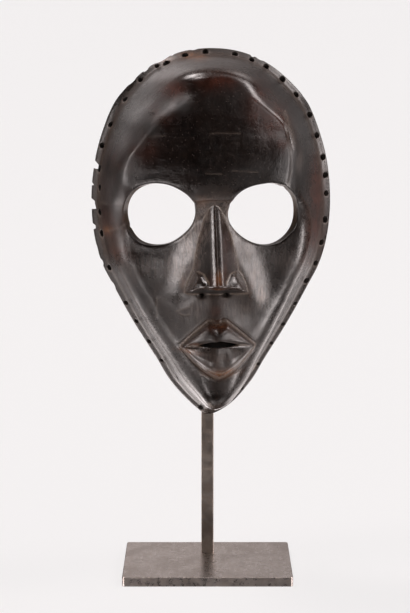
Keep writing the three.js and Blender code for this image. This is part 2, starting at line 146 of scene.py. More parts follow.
# Cord holes: place on the outline, depth, size and how much they point forwards
HOLES = (
    (-3.7, 238.1, 3.6, 1.0, 0.5), (-16.8, 235.8, 4.0, 1.1, 0.6), (-28.6, 230.2, 5.1, 1.2, 0.9),
    (-35.1, 229.3, 3.6, 0.8, 0.5), (-45.6, 220.2, 4.0, 0.9, 0.5), (-55.2, 207.5, 5.7, 1.0, 0.6),
    (-65.1, 191.6, 4.8, 1.05, 0.6), (-71.6, 178.2, 4.0, 0.95, 0.5), (-72.6, 163.3, 5.2, 1.1, 1.0),
    (-70.8, 151.3, 7.6, 1.1, 1.5), (-71.5, 135.4, 7.2, 1.1, 1.5), (-70.7, 121.5, 7.2, 1.3, 1.2),
    (-66.5, 98.5, 4.6, 1.0, 0.6), (-57.1, 74.3, 3.0, 0.8, 0.1), (-50.5, 62.0, 3.0, 0.7, 0.1),
    (-42.0, 48.5, 3.0, 0.75, 0.1), (-33.0, 36.5, 3.0, 0.6, 0.0), (-22.3, 27.1, 12.0, 0.75, 0.1),
    (-7.9, 3.6, 3.6, 0.8, 0.1), (15.3, 236.9, 3.8, 1.0, 0.5), (26.1, 232.9, 3.8, 0.9, 0.4),
    (35.9, 229.3, 3.6, 0.95, 0.3), (46.5, 220.9, 3.8, 1.0, 0.4), (54.9, 210.5, 4.2, 1.0, 0.4),
    (64.5, 197.7, 3.6, 1.0, 0.3), (69.2, 184.4, 3.8, 1.0, 0.3), (73.8, 170.3, 3.6, 0.95, 0.3),
    (75.8, 158.6, 3.6, 0.95, 0.2), (75.7, 146.6, 3.8, 0.95, 0.2), (75.2, 129.3, 4.2, 1.15, 0.3),
    (72.9, 114.3, 4.2, 1.0, 0.3), (69.7, 100.2, 3.6, 0.95, 0.2), (63.6, 88.5, 3.8, 0.95, 0.2),
    (56.0, 73.5, 2.8, 0.65, 0.0), (48.0, 60.0, 2.8, 0.65, 0.0), (40.0, 47.5, 2.8, 0.6, 0.0),
    (30.5, 34.0, 2.8, 0.6, 0.0), (18.5, 18.5, 2.8, 0.6, 0.0),
)
HOLE_RADIUS = 2.0

# How finely the mask is drawn: columns round it, cells of the grid, steps of the lattices and of the rows,
# and how far the lattices' points keep from the loops that bound them
COLUMNS = 600
CELL = 0.5
COARSE_CELLS = 4
LATTICE = 0.98
FINE = 0.54
BACK_LATTICE = 2.6
ROW_PITCH = 0.866
LOOP_GAP = 0.62
SHORTEST_EDGE = 0.6
FLANK_STEP = 0.42
FLANK_DEPTH = 14.0
BACK_STEPS = (0.0, 0.7, 1.6, 3, 4.6, 6.6)
MASK_BOX = ((-80, 0), (80, 240))
NOSE_BOX = ((-25, 82), (27, 150))
LIPS_BOX = ((-25, 28), (31, 74))


# Small numeric helpers


def smooth_min(a, b, soft):
    """The smaller of two, with the change from one to the other rounded."""
    near = np.maximum(soft - np.abs(a - b), 0) / soft
    return np.minimum(a, b) - near * near * soft / 4


def smooth_max(a, b, soft):
    return -smooth_min(-a, -b, soft)


def ramp(low, high, v):
    """A soft step from 0 at low to 1 at high."""
    t = np.clip((v - low) / (high - low), 0, 1)
    return t * t * (3 - 2 * t)


def through(at, values, place):
    """A smooth curve through values given at places."""
    at = np.asarray(at, float)
    values = np.asarray(values, float)
    slopes = np.gradient(values, at)
    place = np.clip(place, at[0], at[-1])
    i = np.clip(np.searchsorted(at, place) - 1, 0, len(at) - 2)
    span = at[i + 1] - at[i]
    t = (place - at[i]) / span
    a, b = values[i], values[i + 1]
    bend_in = slopes[i] * span - (b - a)
    bend_out = (b - a) - slopes[i + 1] * span
    return a + t * (b - a) + t * (1 - t) * (bend_in * (1 - t) + bend_out * t)


def blur(field, cells):
    """A Gaussian blur of a grid, by its width in cells."""
    reach = max(int(cells * 3), 1)
    kernel = np.exp(-0.5 * (np.arange(-reach, reach + 1) / cells) ** 2)
    kernel /= kernel.sum()
    for axis in (0, 1):
        padded = np.pad(field, [(reach, reach) if a == axis else (0, 0) for a in (0, 1)], mode="edge")
        windows = np.lib.stride_tricks.sliding_window_view(padded, len(kernel), axis=axis)
        field = windows @ kernel
    return field


# The outline of the mask


def outline_curve(count):
    """Evenly spaced points round the outline, in drawn units, from the chin up its right side."""
    right = [(w, z) for z, w in OUTLINE]
    left = [(-w, z) for z, w in reversed(OUTLINE)]
    knots = np.array([CHIN, *right, (0, DRAWN), *left], float)
    dense = []
    total = len(knots)
    for k in range(total):
        p = [knots[(k + o) % total] for o in (-1, 0, 1, 2)]
        d = [max(np.linalg.norm(p[i + 1] - p[i]) ** 0.5, 1e-6) for i in range(3)]
        t1 = ((p[1] - p[0]) / d[0] - (p[2] - p[0]) / (d[0] + d[1]) + (p[2] - p[1]) / d[1]) * d[1]
        t2 = ((p[2] - p[1]) / d[1] - (p[3] - p[1]) / (d[1] + d[2]) + (p[3] - p[2]) / d[2]) * d[1]
        t = np.linspace(0, 1, 120, endpoint=False)[:, None]
        dense.append(
            p[1] + t1 * t + (-3 * p[1] + 3 * p[2] - 2 * t1 - t2) * t**2
            + (2 * p[1] - 2 * p[2] + t1 + t2) * t**3
        )
    dense = np.concatenate(dense)
    closed = np.vstack([dense, dense[:1]])
    run = np.concatenate([[0], np.cumsum(np.linalg.norm(np.diff(closed, axis=0), axis=1))])
    want = np.linspace(0, run[-1], count, endpoint=False)
    return np.column_stack([np.interp(want, run, closed[:, c]) for c in (0, 1)])


rim = outline_curve(COLUMNS)
ahead = np.roll(rim, -1, 0) - np.roll(rim, 1, 0)
rim_normal = np.column_stack([ahead[:, 1], -ahead[:, 0]])
rim_normal /= np.linalg.norm(rim_normal, axis=1)[:, None]
ray = rim - MIDDLE
ray_reach = np.linalg.norm(ray, axis=1)
ray /= ray_reach[:, None]
slant = (ray * rim_normal).sum(1)


# The height field of the face, on a fine grid

gx = np.arange(-86, 86 + CELL, CELL)
gz = np.arange(-6, 248 + CELL, CELL)
X, Z = np.meshgrid(gx, gz, indexing="ij")


def sample(field, x, z):
    """A smooth reading of a grid at any points."""
    u = np.clip((x - gx[0]) / CELL, 1, len(gx) - 3)
    v = np.clip((z - gz[0]) / CELL, 1, len(gz) - 3)
    i, j = u.astype(int), v.astype(int)
    fu, fv = u - i, v - j

    def weights(t):
        return (
            0.5 * (-t + 2 * t**2 - t**3),
            0.5 * (2 - 5 * t**2 + 3 * t**3),
            0.5 * (t + 4 * t**2 - 3 * t**3),
            0.5 * (t**3 - t**2),
        )

    wu, wv = weights(fu), weights(fv)
    return sum(wu[a] * wv[b] * field[i + a - 1, j + b - 1] for a in range(4) for b in range(4))


def noise(size, seed):
    """Smooth random unevenness with features of a size, in drawn units."""
    rng = np.random.default_rng(seed)
    step = max(size, CELL)
    coarse = rng.normal(size=(int(172 / step) + 6, int(254 / step) + 6))
    coarse = blur(coarse, 0.8)
    u = (X - gx[0]) / step + 1
    v = (Z - gz[0]) / step + 1
    i, j = u.astype(int), v.astype(int)
    fu, fv = u - i, v - j
    fu, fv = fu * fu * (3 - 2 * fu), fv * fv * (3 - 2 * fv)
    a = coarse[i, j] * (1 - fu) + coarse[i + 1, j] * fu
    b = coarse[i, j + 1] * (1 - fu) + coarse[i + 1, j + 1] * fu
    field = a * (1 - fv) + b * fv
    return field / field.std()


def distance_field():
    """How far each grid point lies inside the outline, with the ridge between the two jaws rounded."""
    coarse_x, coarse_z = gx[::COARSE_CELLS], gz[::COARSE_CELLS]
    points = np.stack(np.meshgrid(coarse_x, coarse_z, indexing="ij"), -1).reshape(-1, 2)
    away = np.full(len(points), 1e9)
    side = np.zeros(len(points))
    for k in range(0, COLUMNS, 2):
        gap = points - rim[k]
        d = (gap**2).sum(1)
        near = d < away
        away[near] = d[near]
        side[near] = -(gap @ rim_normal[k])[near]
    signed = np.where(side > 0, 1, -1) * np.sqrt(away)
    exact = np.where(np.abs(side) < 6, side, signed).reshape(len(coarse_x), len(coarse_z))
    rounded = blur(exact, 2.2)
    mixed = exact + (rounded - exact) * ramp(4, 12, exact)
    u = (X - gx[0]) / (COARSE_CELLS * CELL)
    v = (Z - gz[0]) / (COARSE_CELLS * CELL)
    i = np.minimum(u.astype(int), len(coarse_x) - 2)
    j = np.minimum(v.astype(int), len(coarse_z) - 2)
    fu, fv = u - i, v - j
    a = mixed[i, j] * (1 - fu) + mixed[i + 1, j] * fu
    b = mixed[i, j + 1] * (1 - fu) + mixed[i + 1, j + 1] * fu
    return blur(a * (1 - fv) + b * fv, 2.0)


def level(name):
    """A row of LEVELS at every point of the grid."""
    return through(LEVELS["at"], LEVELS[name], Z)


inset = distance_field()
crest = CREST_LOW + (CREST_HIGH - CREST_LOW) * ramp(*CREST_HEIGHTS, Z)
out = np.clip(np.hypot(X, crest) / level("reach"), 0, 1)
FRONT = level("side") + (level("mid") - level("side")) * (1 - out ** level("bow")) ** level("hollow")
rightness = ramp(-TILT_WIDTH, TILT_WIDTH, X)
slope = level("slope") * (1 + level("tilt") * rightness)
softness = level("soft") * (1 + level("ease") * (1 - rightness))
steep = slope * (inset - RIM_FLARE)
bead = RIM_BEAD * np.exp(-((inset / BEAD_WIDTH) ** 2))
FLANK = smooth_max(FLARE_SLOPE * inset, steep, FLARE_BLEND) + bead
radius = level("round")
turned = np.arctan(slope)
past = inset - RIM_FLARE - FRONT / slope
arc = np.clip(radius * np.tan(turned / 2) - past, 0, radius * np.sin(turned))
ROUNDED = np.minimum(FRONT - radius + np.sqrt(np.maximum(radius**2 - arc**2, 0)), FLANK)
FACE = ROUNDED + (smooth_min(FRONT, FLANK, softness) - ROUNDED) * ramp(*TURN_HEIGHTS, Z)
BACK = smooth_min(FRONT - WALL / GRID, slope * (inset - RIM / GRID), softness)

# The nose and the mouth lean over by AXIS_LEAN; across is the distance from their leaning middle.
across = X - (NOSE_ROOT - Z) * math.tan(AXIS_LEAN)
wing_spread = np.minimum(np.abs(across) / WING_HALF, WING_LIMIT) ** 2


def nose_field():
    """The nose and its wings: level slices whose corners droop towards the wings."""
    half = np.abs(across)
    at = Z.copy()
    for _ in range(4):
        low = np.clip((DROOP_FROM - at) / (DROOP_FROM - DROOP_FULL), 0, 1)
        at = Z + NOSE_DROOP * low * wing_spread
    knots = []
    for name in ("ridge", "foot", "crease", "edge"):
        row = np.array(NOSE[name])
        knots.append((np.interp(at, NOSE["at"], row[:, 0]), np.interp(at, NOSE["at"], row[:, 1])))
    ridge_half, ridge_depth = knots[0]
    crown = RIDGE_CROWN * (1 - np.clip(half / ridge_half, 0, 1) ** 1.3)
    depth = np.where(half <= ridge_half, ridge_depth + crown, 0.0)
    wing = ramp(*WING_TOP, at)
    for (w0, d0), (w1, d1), bulge in zip(knots, knots[1:], WING_BULGES):
        t = np.clip((half - w0) / np.maximum(w1 - w0, 1e-6), 0, 1)
        dome = 4 * t * (1 - t) * bulge * wing
        depth = np.where((half > w0) & (half <= w1), d0 + (d1 - d0) * t + dome, depth)
    bottom = UNDERSIDE + NOSE_DROOP * wing_spread
    fall = np.clip((at - bottom) / (UNDERSIDE_TOP - bottom), 0, 1)
    depth = FRONT + (depth - FRONT) * fall
    return np.where((half > knots[3][0]) | (at < bottom) | (at > NOSE_ROOT), 0.0, depth)


def lips_field():
    """The two lips: how far they stand out between the slit and their border."""
    share = np.clip(np.abs(across) / MOUTH_HALF, 0, 1)
    rise = np.clip((1 - share) / (1 - CUPID), 0, 1)
    notch = CUPID_NOTCH * np.maximum(1 - share / CUPID, 0)
    top = np.maximum(UPPER_LIP * rise - notch, 1e-3)
    low = np.maximum(LOWER_LIP * (1 - share**1.5) ** 0.9, 1e-3)
    slit = SLIT - CORNER_DROP * share**2
    stand = 0.1 + 0.9 * (1 - share * share) ** 0.55
    up = (Z - slit) / top
    down = (slit - Z) / low
    bevel = np.minimum(1.5 + 3.2 * (1 - share) ** 3, 0.5 * top)
    split = 1 - bevel / top
    upper = np.where(
        up < split,
        np.interp(up / split, *zip(*UPPER_BODY)),
        UPPER_BODY[-1][1] - UPPER_BORDER_FALL * np.clip((up - split) / (1 - split), 0, 1) ** 1.3,
    )
    ledge = np.minimum(2.4 + 2.2 * (1 - share) ** 2, 0.5 * low)
    split = 1 - ledge / low
    place, width, deep = LIP_DENT
    dent = deep * np.exp(-(((across - place) / width) ** 2)) * np.sin(np.pi * np.clip(down / split, 0, 1))
    lower = np.where(
        down < split,
        np.interp(down / split, *zip(*LOWER_BODY)) - dent,
        LOWER_BORDER - LOWER_BORDER_FALL * np.clip((down - split) / (1 - split), 0, 1),
    )
    height = np.where(Z >= slit, upper, lower) * stand
    inside = (up <= 1) & (down <= 1) & (np.abs(across) < MOUTH_HALF)
    return np.where(inside, FRONT + height, 0.0), up, down, top, low


def stroke(points, width):
    """How near each grid point is to a line through points, from 0 to 1."""
    away = np.full(X.shape, 1e9)
    for (x0, z0), (x1, z1) in zip(points, points[1:]):
        run = math.hypot(x1 - x0, z1 - z0)
        t = np.clip(((X - x0) * (x1 - x0) + (Z - z0) * (z1 - z0)) / run**2, 0, 1)
        away = np.minimum(away, np.hypot(X - x0 - t * (x1 - x0), Z - z0 - t * (z1 - z0)))
    return np.exp(-((away / width) ** 2))


def oval(x, z, rx, rz):
    """A soft oval round a place, from 1 in its middle to 0."""
    return np.exp(-(((X - x) / rx) ** 2) - ((Z - z) / rz) ** 2)


# Marks of use: each a line of places, its half width, how deep it is cut and how light it shows
MARKS = (
    (((43.3, 201), (44.4, 191), (46.5, 181), (47.4, 173), (47.3, 165), (45.5, 156.8)), 0.7, 0.45, 0.5),
    (((44.6, 201.8), (46, 193.8), (48, 186.3), (48.5, 180.6)), 0.6, 0.3, 0.7),
    (((46.6, 196), (49, 188), (50.2, 181)), 0.6, 0.25, 0.4),
    (((-3.1, 188.9), (0.6, 189.6), (10.5, 189.4), (15.4, 189.2)), 0.45, 0.12, 0.3),
    (((10.4, 166.3), (19.1, 165.9), (26.5, 165.2)), 0.45, 0.12, 0.28),
    (((-6, 165), (4, 164.4)), 0.45, 0.1, 0.3),
    (((-40.3, 186.8), (-34.8, 187.5), (-29.9, 187.9)), 0.45, 0.1, 0.3),
    (((-35.6, 83.1), (-36, 76.7), (-35.7, 70.4)), 0.5, 0.15, 0.4),
    (((-23.6, 75), (-19.8, 76.5), (-14.8, 78.5)), 0.5, 0.15, 0.5),
    (((-21.7, 73.7), (-17.9, 72.6), (-14.8, 73.4)), 0.5, 0.12, 0.35),
    (((-70.5, 142), (-62, 143.2), (-56.5, 144.5)), 0.6, 0.15, 0.45),
    (((-66, 125), (-60, 128), (-55.5, 131)), 0.6, 0.15, 0.45),
    (((-3.9, 7.2), (-1.4, 5.9), (2.6, 6.4)), 0.9, 1.1, 0.2),
)

# Soft swellings beside the nose, down the cheeks
CHEEKS = (
    ((-9, 122), (-12, 112), (-17, 100), (-21, 88)),
    ((9, 126), (14, 113), (20, 100), (25, 84)),
)
CHEEK_RISE = 2.3
CHEEK_WIDTH = 8.5
for points in CHEEKS:
    FACE = FACE + CHEEK_RISE * stroke(points, CHEEK_WIDTH)

nose = nose_field()
lips, lip_up, lip_down, lip_top, lip_low = lips_field()
body = FACE.copy()
FACE = np.maximum(FACE, blur(nose, 0.8))
FACE = np.maximum(FACE, blur(lips, 0.8))
raised = FACE - body

# Fine relief: the brow's rough edge, nostrils, the groove and hollow under the nose, and what lies round the
# lips. Ovals are given by their middle, half width and half height, and the groove then by its depth.
BROW_EDGE = 147.6
BROW_HALF = 12.5
BROW_STEP = 0.8
NOSTRIL_SIZE = (2.0, 1.5)
NOSTRILS = ((-6.9, 86.0, 4.5), (8.1, 86.8, 3.6))
LIP_GROOVE = (1.8, 75.4, 1.6, 2.2, 0.2)
BELOW_NOSE = {"drop": 1.4, "half": 14.0, "high": 2.6, "deep": 1.5}
LIP_DIMPLES = {"places": (-3.4, 3.0), "above": 57.0, "half": 1.3, "high": 0.7, "deep": 0.9}
HEALED = (52.8, 171, 3.4, 7.5)
# The line and the low ridge round the lips: distance from the lips, half width and height
LIP_LINE = (0.5, 0.6, -0.3)
LIP_RIDGE = (1.7, 0.55, 0.32)

brow = BROW_EDGE + 0.5 * noise(3.5, 31) + 0.02 * across
brow_share = np.exp(-((across / BROW_HALF) ** 6)) * ramp(162, 148, Z)
FACE = FACE + BROW_STEP * ramp(-0.6, 0.6, Z - brow) * brow_share
for x, z, deep in NOSTRILS:
    FACE = FACE - deep * oval(x, z, *NOSTRIL_SIZE)
FACE = FACE - LIP_GROOVE[4] * oval(*LIP_GROOVE[:4])
hollow_middle = UNDERSIDE + BELOW_NOSE["drop"] + NOSE_DROOP * wing_spread
hollow_away = ((Z - hollow_middle) / BELOW_NOSE["high"]) ** 2 + (across / BELOW_NOSE["half"]) ** 4
FACE = FACE - BELOW_NOSE["deep"] * np.exp(-hollow_away)
for place in LIP_DIMPLES["places"]:
    sideways = (across - place) / LIP_DIMPLES["half"]
    upwards = (Z - lip_top - LIP_DIMPLES["above"]) / LIP_DIMPLES["high"]
    FACE = FACE - LIP_DIMPLES["deep"] * np.exp(-(sideways**2 + upwards**2))
marks = 0.0 * X
for points, width, deep, light in MARKS:
    mark = stroke(points, width)
    FACE = FACE - deep * mark
    marks = np.maximum(marks, light * mark)
FACE = FACE + oval(*HEALED) * (0.9 + 0.45 * noise(2.6, 41))
outside = np.maximum((lip_up - 1) * lip_top * 0.82, (lip_down - 1) * lip_low * 0.8)
near_mouth = ramp(1.1, 0.98, np.abs(across) / MOUTH_HALF)
for away, half, rise in (LIP_RIDGE, LIP_LINE):
    FACE = FACE + rise * (np.exp(-(((outside - away) / half) ** 2)) * near_mouth)

# The unevenness that the blade left, on the front and less on nose and lips, and in the hollow
uneven = 0.30 * noise(24, 3) + 0.14 * noise(9, 5) + 0.05 * noise(4, 7)
FACE = FACE + uneven * ramp(2, 9, inset) * ramp(3, 0, raised)
FACE = FACE + 0.4 * uneven * ramp(0, 3, raised)
BACK = BACK + 0.5 * noise(12, 11) + 0.18 * noise(5, 13)


# The mesh: rows round the flank and the rim, and a lattice inside them


def polar(distance):
    """A ring of points that distance inside the outline, along the rays from the middle."""
    d = np.broadcast_to(distance, (COLUMNS,))
    return rim - ray * (d / slant)[:, None]


# Rows of the mask's points and triangles, joined into one mesh further down
vertices = []
triangles = []


def add_points(points, depth):
    """Adds points at depths to the mesh; gives their numbers."""
    start = sum(len(v) for v in vertices)
    vertices.append(np.column_stack([points[:, 0], -depth, points[:, 1]]))
    return np.arange(start, start + len(points))


def join_rows(a, b):
    """Triangles between two closed rows of the same count; a is nearer the middle of the front."""
    a2, b2 = np.roll(a, -1), np.roll(b, -1)
    triangles.append(np.column_stack([a, b, b2]))
    triangles.append(np.column_stack([a, b2, a2]))


def in_loop(points, loop):
    """Which points lie inside a closed loop."""
    inside = np.zeros(len(points), bool)
    x, z = points[:, 0], points[:, 1]
    x0, z0 = loop[-1]
    for x1, z1 in loop:
        if z0 != z1:
            cross = ((z1 > z) != (z0 > z)) & (x < (x0 - x1) * (z - z1) / (z0 - z1) + x1)
            inside ^= cross
        x0, z0 = x1, z1
    return inside


def near_loop(points, loop, gap):
    """Which points lie within a gap of a loop's points."""
    close = np.zeros(len(points), bool)
    for p in loop:
        close |= ((points - p) ** 2).sum(1) < gap * gap
    return close


def lattice(low, high, step):
    """A triangular lattice of points over a box."""
    rows = np.arange(low[1], high[1], step * ROW_PITCH)
    points = []
    for k, z in enumerate(rows):
        x = np.arange(low[0] + (k % 2) * step / 2, high[0], step)
        points.append(np.column_stack([x, np.full(len(x), z)]))
    return np.concatenate(points)


def fill(outer, holes, loops_index, points, depth_of, front):
    """Triangles over the area inside outer and outside holes; loops_index holds the loops' vertices."""
    loops = [outer, *holes]
    keep = in_loop(points, outer)
    for hole in holes:
        keep &= ~in_loop(points, hole)
    points = points[keep]
    for loop in loops:
        span = np.linalg.norm(loop - np.roll(loop, 1, 0), axis=1).mean()
        points = points[~near_loop(points, loop, LOOP_GAP * max(span, SHORTEST_EDGE))]
    index = np.concatenate([*loops_index, add_points(points, depth_of(points))])
    everything = np.concatenate([*loops, points])
    edges = []
    start = 0
    for loop in loops:
        count = len(loop)
        edges += [(start + k, start + (k + 1) % count) for k in range(count)]
        start += count
    made = delaunay_2d_cdt([Vector(p) for p in everything], edges, [], 0, 1e-6, True)
    origin = [ids[0] if ids else -1 for ids in made[3]]
    faces = np.array([[origin[v] for v in face] for face in made[2]])
    centre = everything[faces].mean(1)
    good = in_loop(centre, outer) & (faces >= 0).all(1)
    for hole in holes:
        good &= ~in_loop(centre, hole)
    faces = faces[good]
    a, b, c = (everything[faces[:, k]] for k in range(3))
    turn = (b[:, 0] - a[:, 0]) * (c[:, 1] - a[:, 1]) - (b[:, 1] - a[:, 1]) * (c[:, 0] - a[:, 0])
    flip = (turn < 0) == front
    faces[flip] = faces[flip][:, ::-1]
    triangles.append(index[faces])


# Broken places of the rim's edge, as a bite that varies along the outline: gaps in its left side by height,
# length and depth, and softer chips by place, length and depth
GAPS = ((165.5, 3.4, 2.3), (152.9, 1.8, 1.9), (140.2, 6.0, 2.8), (125.2, 3.6, 1.6))
CHIPS = (
    (-24.5, 234.5, 1.3, 1.4), (-31.5, 232, 4.5, 0.9), (-41.8, 226.1, 2.0, 0.9), (-50, 218, 3.0, 0.5),
    (-69, 112, 5.0, 0.8), (-71, 102, 2.0, 0.9), (-63, 87, 2.5, 0.7), (26.3, 234.3, 1.3, 1.0),
    (31, 232.5, 2.0, 0.5), (-11, 239, 2.0, 0.5),
)
bite = np.zeros(COLUMNS)
left_side = rim[:, 0] < 0
rough = np.random.default_rng(21).normal(size=COLUMNS)
rough = np.convolve(np.tile(rough, 3), np.ones(5) / 5, "same")[COLUMNS : 2 * COLUMNS]
for height, length, deep in GAPS:
    inside = left_side & (np.abs(rim[:, 1] - height) < length / 2)
    bite[inside] = deep * (1 + 0.15 * rough[inside])
for x, z, length, deep in CHIPS:
    away = np.hypot(rim[:, 0] - x, rim[:, 1] - z)
    bite = np.maximum(bite, deep * np.exp(-((away / length) ** 4)))
bite = np.maximum(bite + 0.12 * rough, 0)


def ring(distance, depth=None):
    """A row of the mesh that distance inside the outline, on the face or at one depth."""
    p = polar(np.maximum(np.broadcast_to(distance, (COLUMNS,)).astype(float), bite))
    if depth is None:
        return add_points(p, sample(FACE, p[:, 0], p[:, 1]))
    return add_points(p, np.broadcast_to(depth, (COLUMNS,)))


flank_steps = np.concatenate([np.arange(0.35, FLANK_DEPTH - 0.2, FLANK_STEP), [FLANK_DEPTH]])
rows = [ring(d) for d in flank_steps[::-1]]
p0 = polar(np.maximum(0, bite))
edge_depth = sample(FACE, p0[:, 0], p0[:, 1])
rows.append(add_points(p0, edge_depth * 0.92))
rows.append(add_points(p0, edge_depth * 0.5))
rows.append(ring(bite + 0.3, 0.12))
rows.append(ring(bite + 0.9, 0.0))
rows.append(ring(4.0, 0.0))
rows.append(ring(RIM / GRID - 1.4, 0.0))
for inner in BACK_STEPS:
    p = polar(RIM / GRID + inner)
    depth = np.maximum(sample(BACK, p[:, 0], p[:, 1]), 0.0 if inner == 0 else 0.25 * inner)
    rows.append(add_points(p, depth if inner else np.zeros(COLUMNS)))
for a, b in zip(rows, rows[1:]):
    join_rows(a, b)
outer_loop = polar(FLANK_DEPTH)
inner_loop = polar(RIM / GRID + BACK_STEPS[-1])


def eye_loop(side, wider, bevel, count=120):
    """The rim of an eye hole: a circle gone a little oval, worn, with a nick or two."""
    a = 2 * math.pi * np.arange(count) / count
    oval = 0.022 * np.cos(2 * (a - 0.44)) + 0.036 * np.cos(3 * (a - 0.14))
    worn = 0.006 * np.cos(5 * a + side) + 0.004 * np.sin(7 * a + 2 * side)
    nick = 0.03 * np.exp(-(((a - (2.19 if side > 0 else 3.6)) / 0.06) ** 2))
    nick = nick + 0.02 * np.exp(-(((a - 0.35) / 0.07) ** 2))
    r = EYE["radius"] * (1 + oval + worn + nick) + bevel * np.maximum(-np.cos(a), 0) + wider
    x = side * EYE["offset"] + EYE["shift"] - side * r * np.cos(a)
    loop = np.column_stack([x, EYE["height"] + r * np.sin(a)])
    return loop[::-1] if side > 0 else loop


def slit_loop(wider, front, count=84):
    """The rim of the slit between the lips; it climbs on its way to the hollow."""
    a = 2 * math.pi * np.arange(count) / count
    high = SLIT_HALF[1] * np.abs(np.sin(a)) ** 1.6 * np.sign(np.sin(a))
    high = np.where(high < 0, 0.45 * high, 1.35 * high)
    spread = SLIT_HALF[0] * np.cos(a)
    bump = 0.6 * np.exp(-(((spread - 1.5) / 2.2) ** 2)) + 0.35 * np.exp(-(((spread + 5) / 1.8) ** 2))
    x = (SLIT_HALF[0] + wider) * np.cos(a) + (NOSE_ROOT - SLIT) * math.tan(AXIS_LEAN)
    climb = 0.0 if front else 7.0
    z = SLIT - 0.6 + high + bump * (np.sin(a) > 0) + wider * np.sin(a) + climb
    return np.column_stack([x, z])


def hole_rows(loop_of, front_steps, back_steps, throat):
    """Rows from the front of the face through a hole to the hollow."""
    made = []
    for wider, drop in front_steps:
        loop = loop_of(wider, True)
        made.append((loop, sample(FACE, loop[:, 0], loop[:, 1]) - drop))
    front_edge = made[-1][1]
    back = loop_of(back_steps[0][0], False)
    back_edge = sample(BACK, back[:, 0], back[:, 1]) + back_steps[0][1]
    for share, wider in throat:
        loop = loop_of(wider, share < 0.4)
        made.append((loop, front_edge + (back_edge - front_edge) * share))
    for wider, rise in back_steps:
        loop = loop_of(wider, False)
        made.append((loop, sample(BACK, loop[:, 0], loop[:, 1]) + rise))
    index = [add_points(loop, depth) for loop, depth in made]
    for b, a in zip(index, index[1:]):
        join_rows(a, b)
    return made[0][0], index[0], made[-1][0], index[-1]


holes = []
for side in (-1, 1):
    holes.append(
        hole_rows(
            lambda wider, front, s=side: eye_loop(s, wider, EYE["bevel"] if front else 0.0),
            ((1.5, 0), (0.8, 0.06), (0.3, 0.3), (0.0, 0.9)),
            ((0.5, 0.9), (0.9, 0.3), (1.8, 0)),
            ((0.3, 0.0), (0.6, 0.0)),
        )
    )
holes.append(
    hole_rows(
        slit_loop,
        ((0.4, 0), (0.15, 0.12), (0.0, 0.5)),
        ((0.3, 0.3), (0.6, 0.4), (0.9, 0.2)),
        ((0.2, 0), (0.5, 0), (0.8, 0)),
    )
)


def in_box(points, box, margin):
    """Which points lie in a box made smaller by a margin."""
    low, high = np.array(box, float)
    return ((points > low + margin) & (points < high - margin)).all(1)


# The front's points: a coarse lattice, and a finer one over the nose and the lips with a small gap between
fine_boxes = (NOSE_BOX, LIPS_BOX)
spread = lattice(*MASK_BOX, LATTICE)
for box in fine_boxes:
    spread = spread[~in_box(spread, box, 0.3)]
for box in fine_boxes:
    fine = lattice(*box, FINE)
    spread = np.concatenate([spread, fine[in_box(fine, box, 0.6)]])
jitter = np.random.default_rng(2).uniform(-0.04, 0.04, spread.shape)
fill(
    outer_loop,
    [h[0] for h in holes],
    [rows[0], *[h[1] for h in holes]],
    spread + jitter,
    lambda p: sample(FACE, p[:, 0], p[:, 1]),
    True,
)
back_points = lattice(*MASK_BOX, BACK_LATTICE)
back_points += np.random.default_rng(4).uniform(-0.08, 0.08, back_points.shape)
fill(
    inner_loop,
    [h[2] for h in holes],
    [rows[-1], *[h[3] for h in holes]],
    back_points,
    lambda p: sample(BACK, p[:, 0], p[:, 1]),
    False,
)


def into_row(points):
    """Drawn units to the row frame, in metres."""
    p = np.asarray(points) * GRID
    c, s = math.cos(MASK_TURN), math.sin(MASK_TURN)
    x = p[:, 0] * c - p[:, 1] * s + MASK_PLACE[0]
    y = p[:, 0] * s + p[:, 1] * c + MASK_PLACE[1]
    return np.column_stack([x, y, p[:, 2] + MASK_PLACE[2]]) * MM


def mesh_object(name, points, faces):
    """A smooth-shaded object from arrays of points and faces."""
    mesh = bpy.data.meshes.new(name)
    mesh.from_pydata(points.tolist(), [], faces.tolist())
    mesh.polygons.foreach_set("use_smooth", np.ones(len(mesh.polygons), bool))
    mesh.update()
    made = bpy.data.objects.new(name, mesh)
    bpy.context.scene.collection.objects.link(made)
    return made


mask_points = np.concatenate(vertices)
mask = mesh_object("carved_mask", into_row(mask_points), np.concatenate(triangles))


# Maps of the carving that the wood's colour follows, read at each point


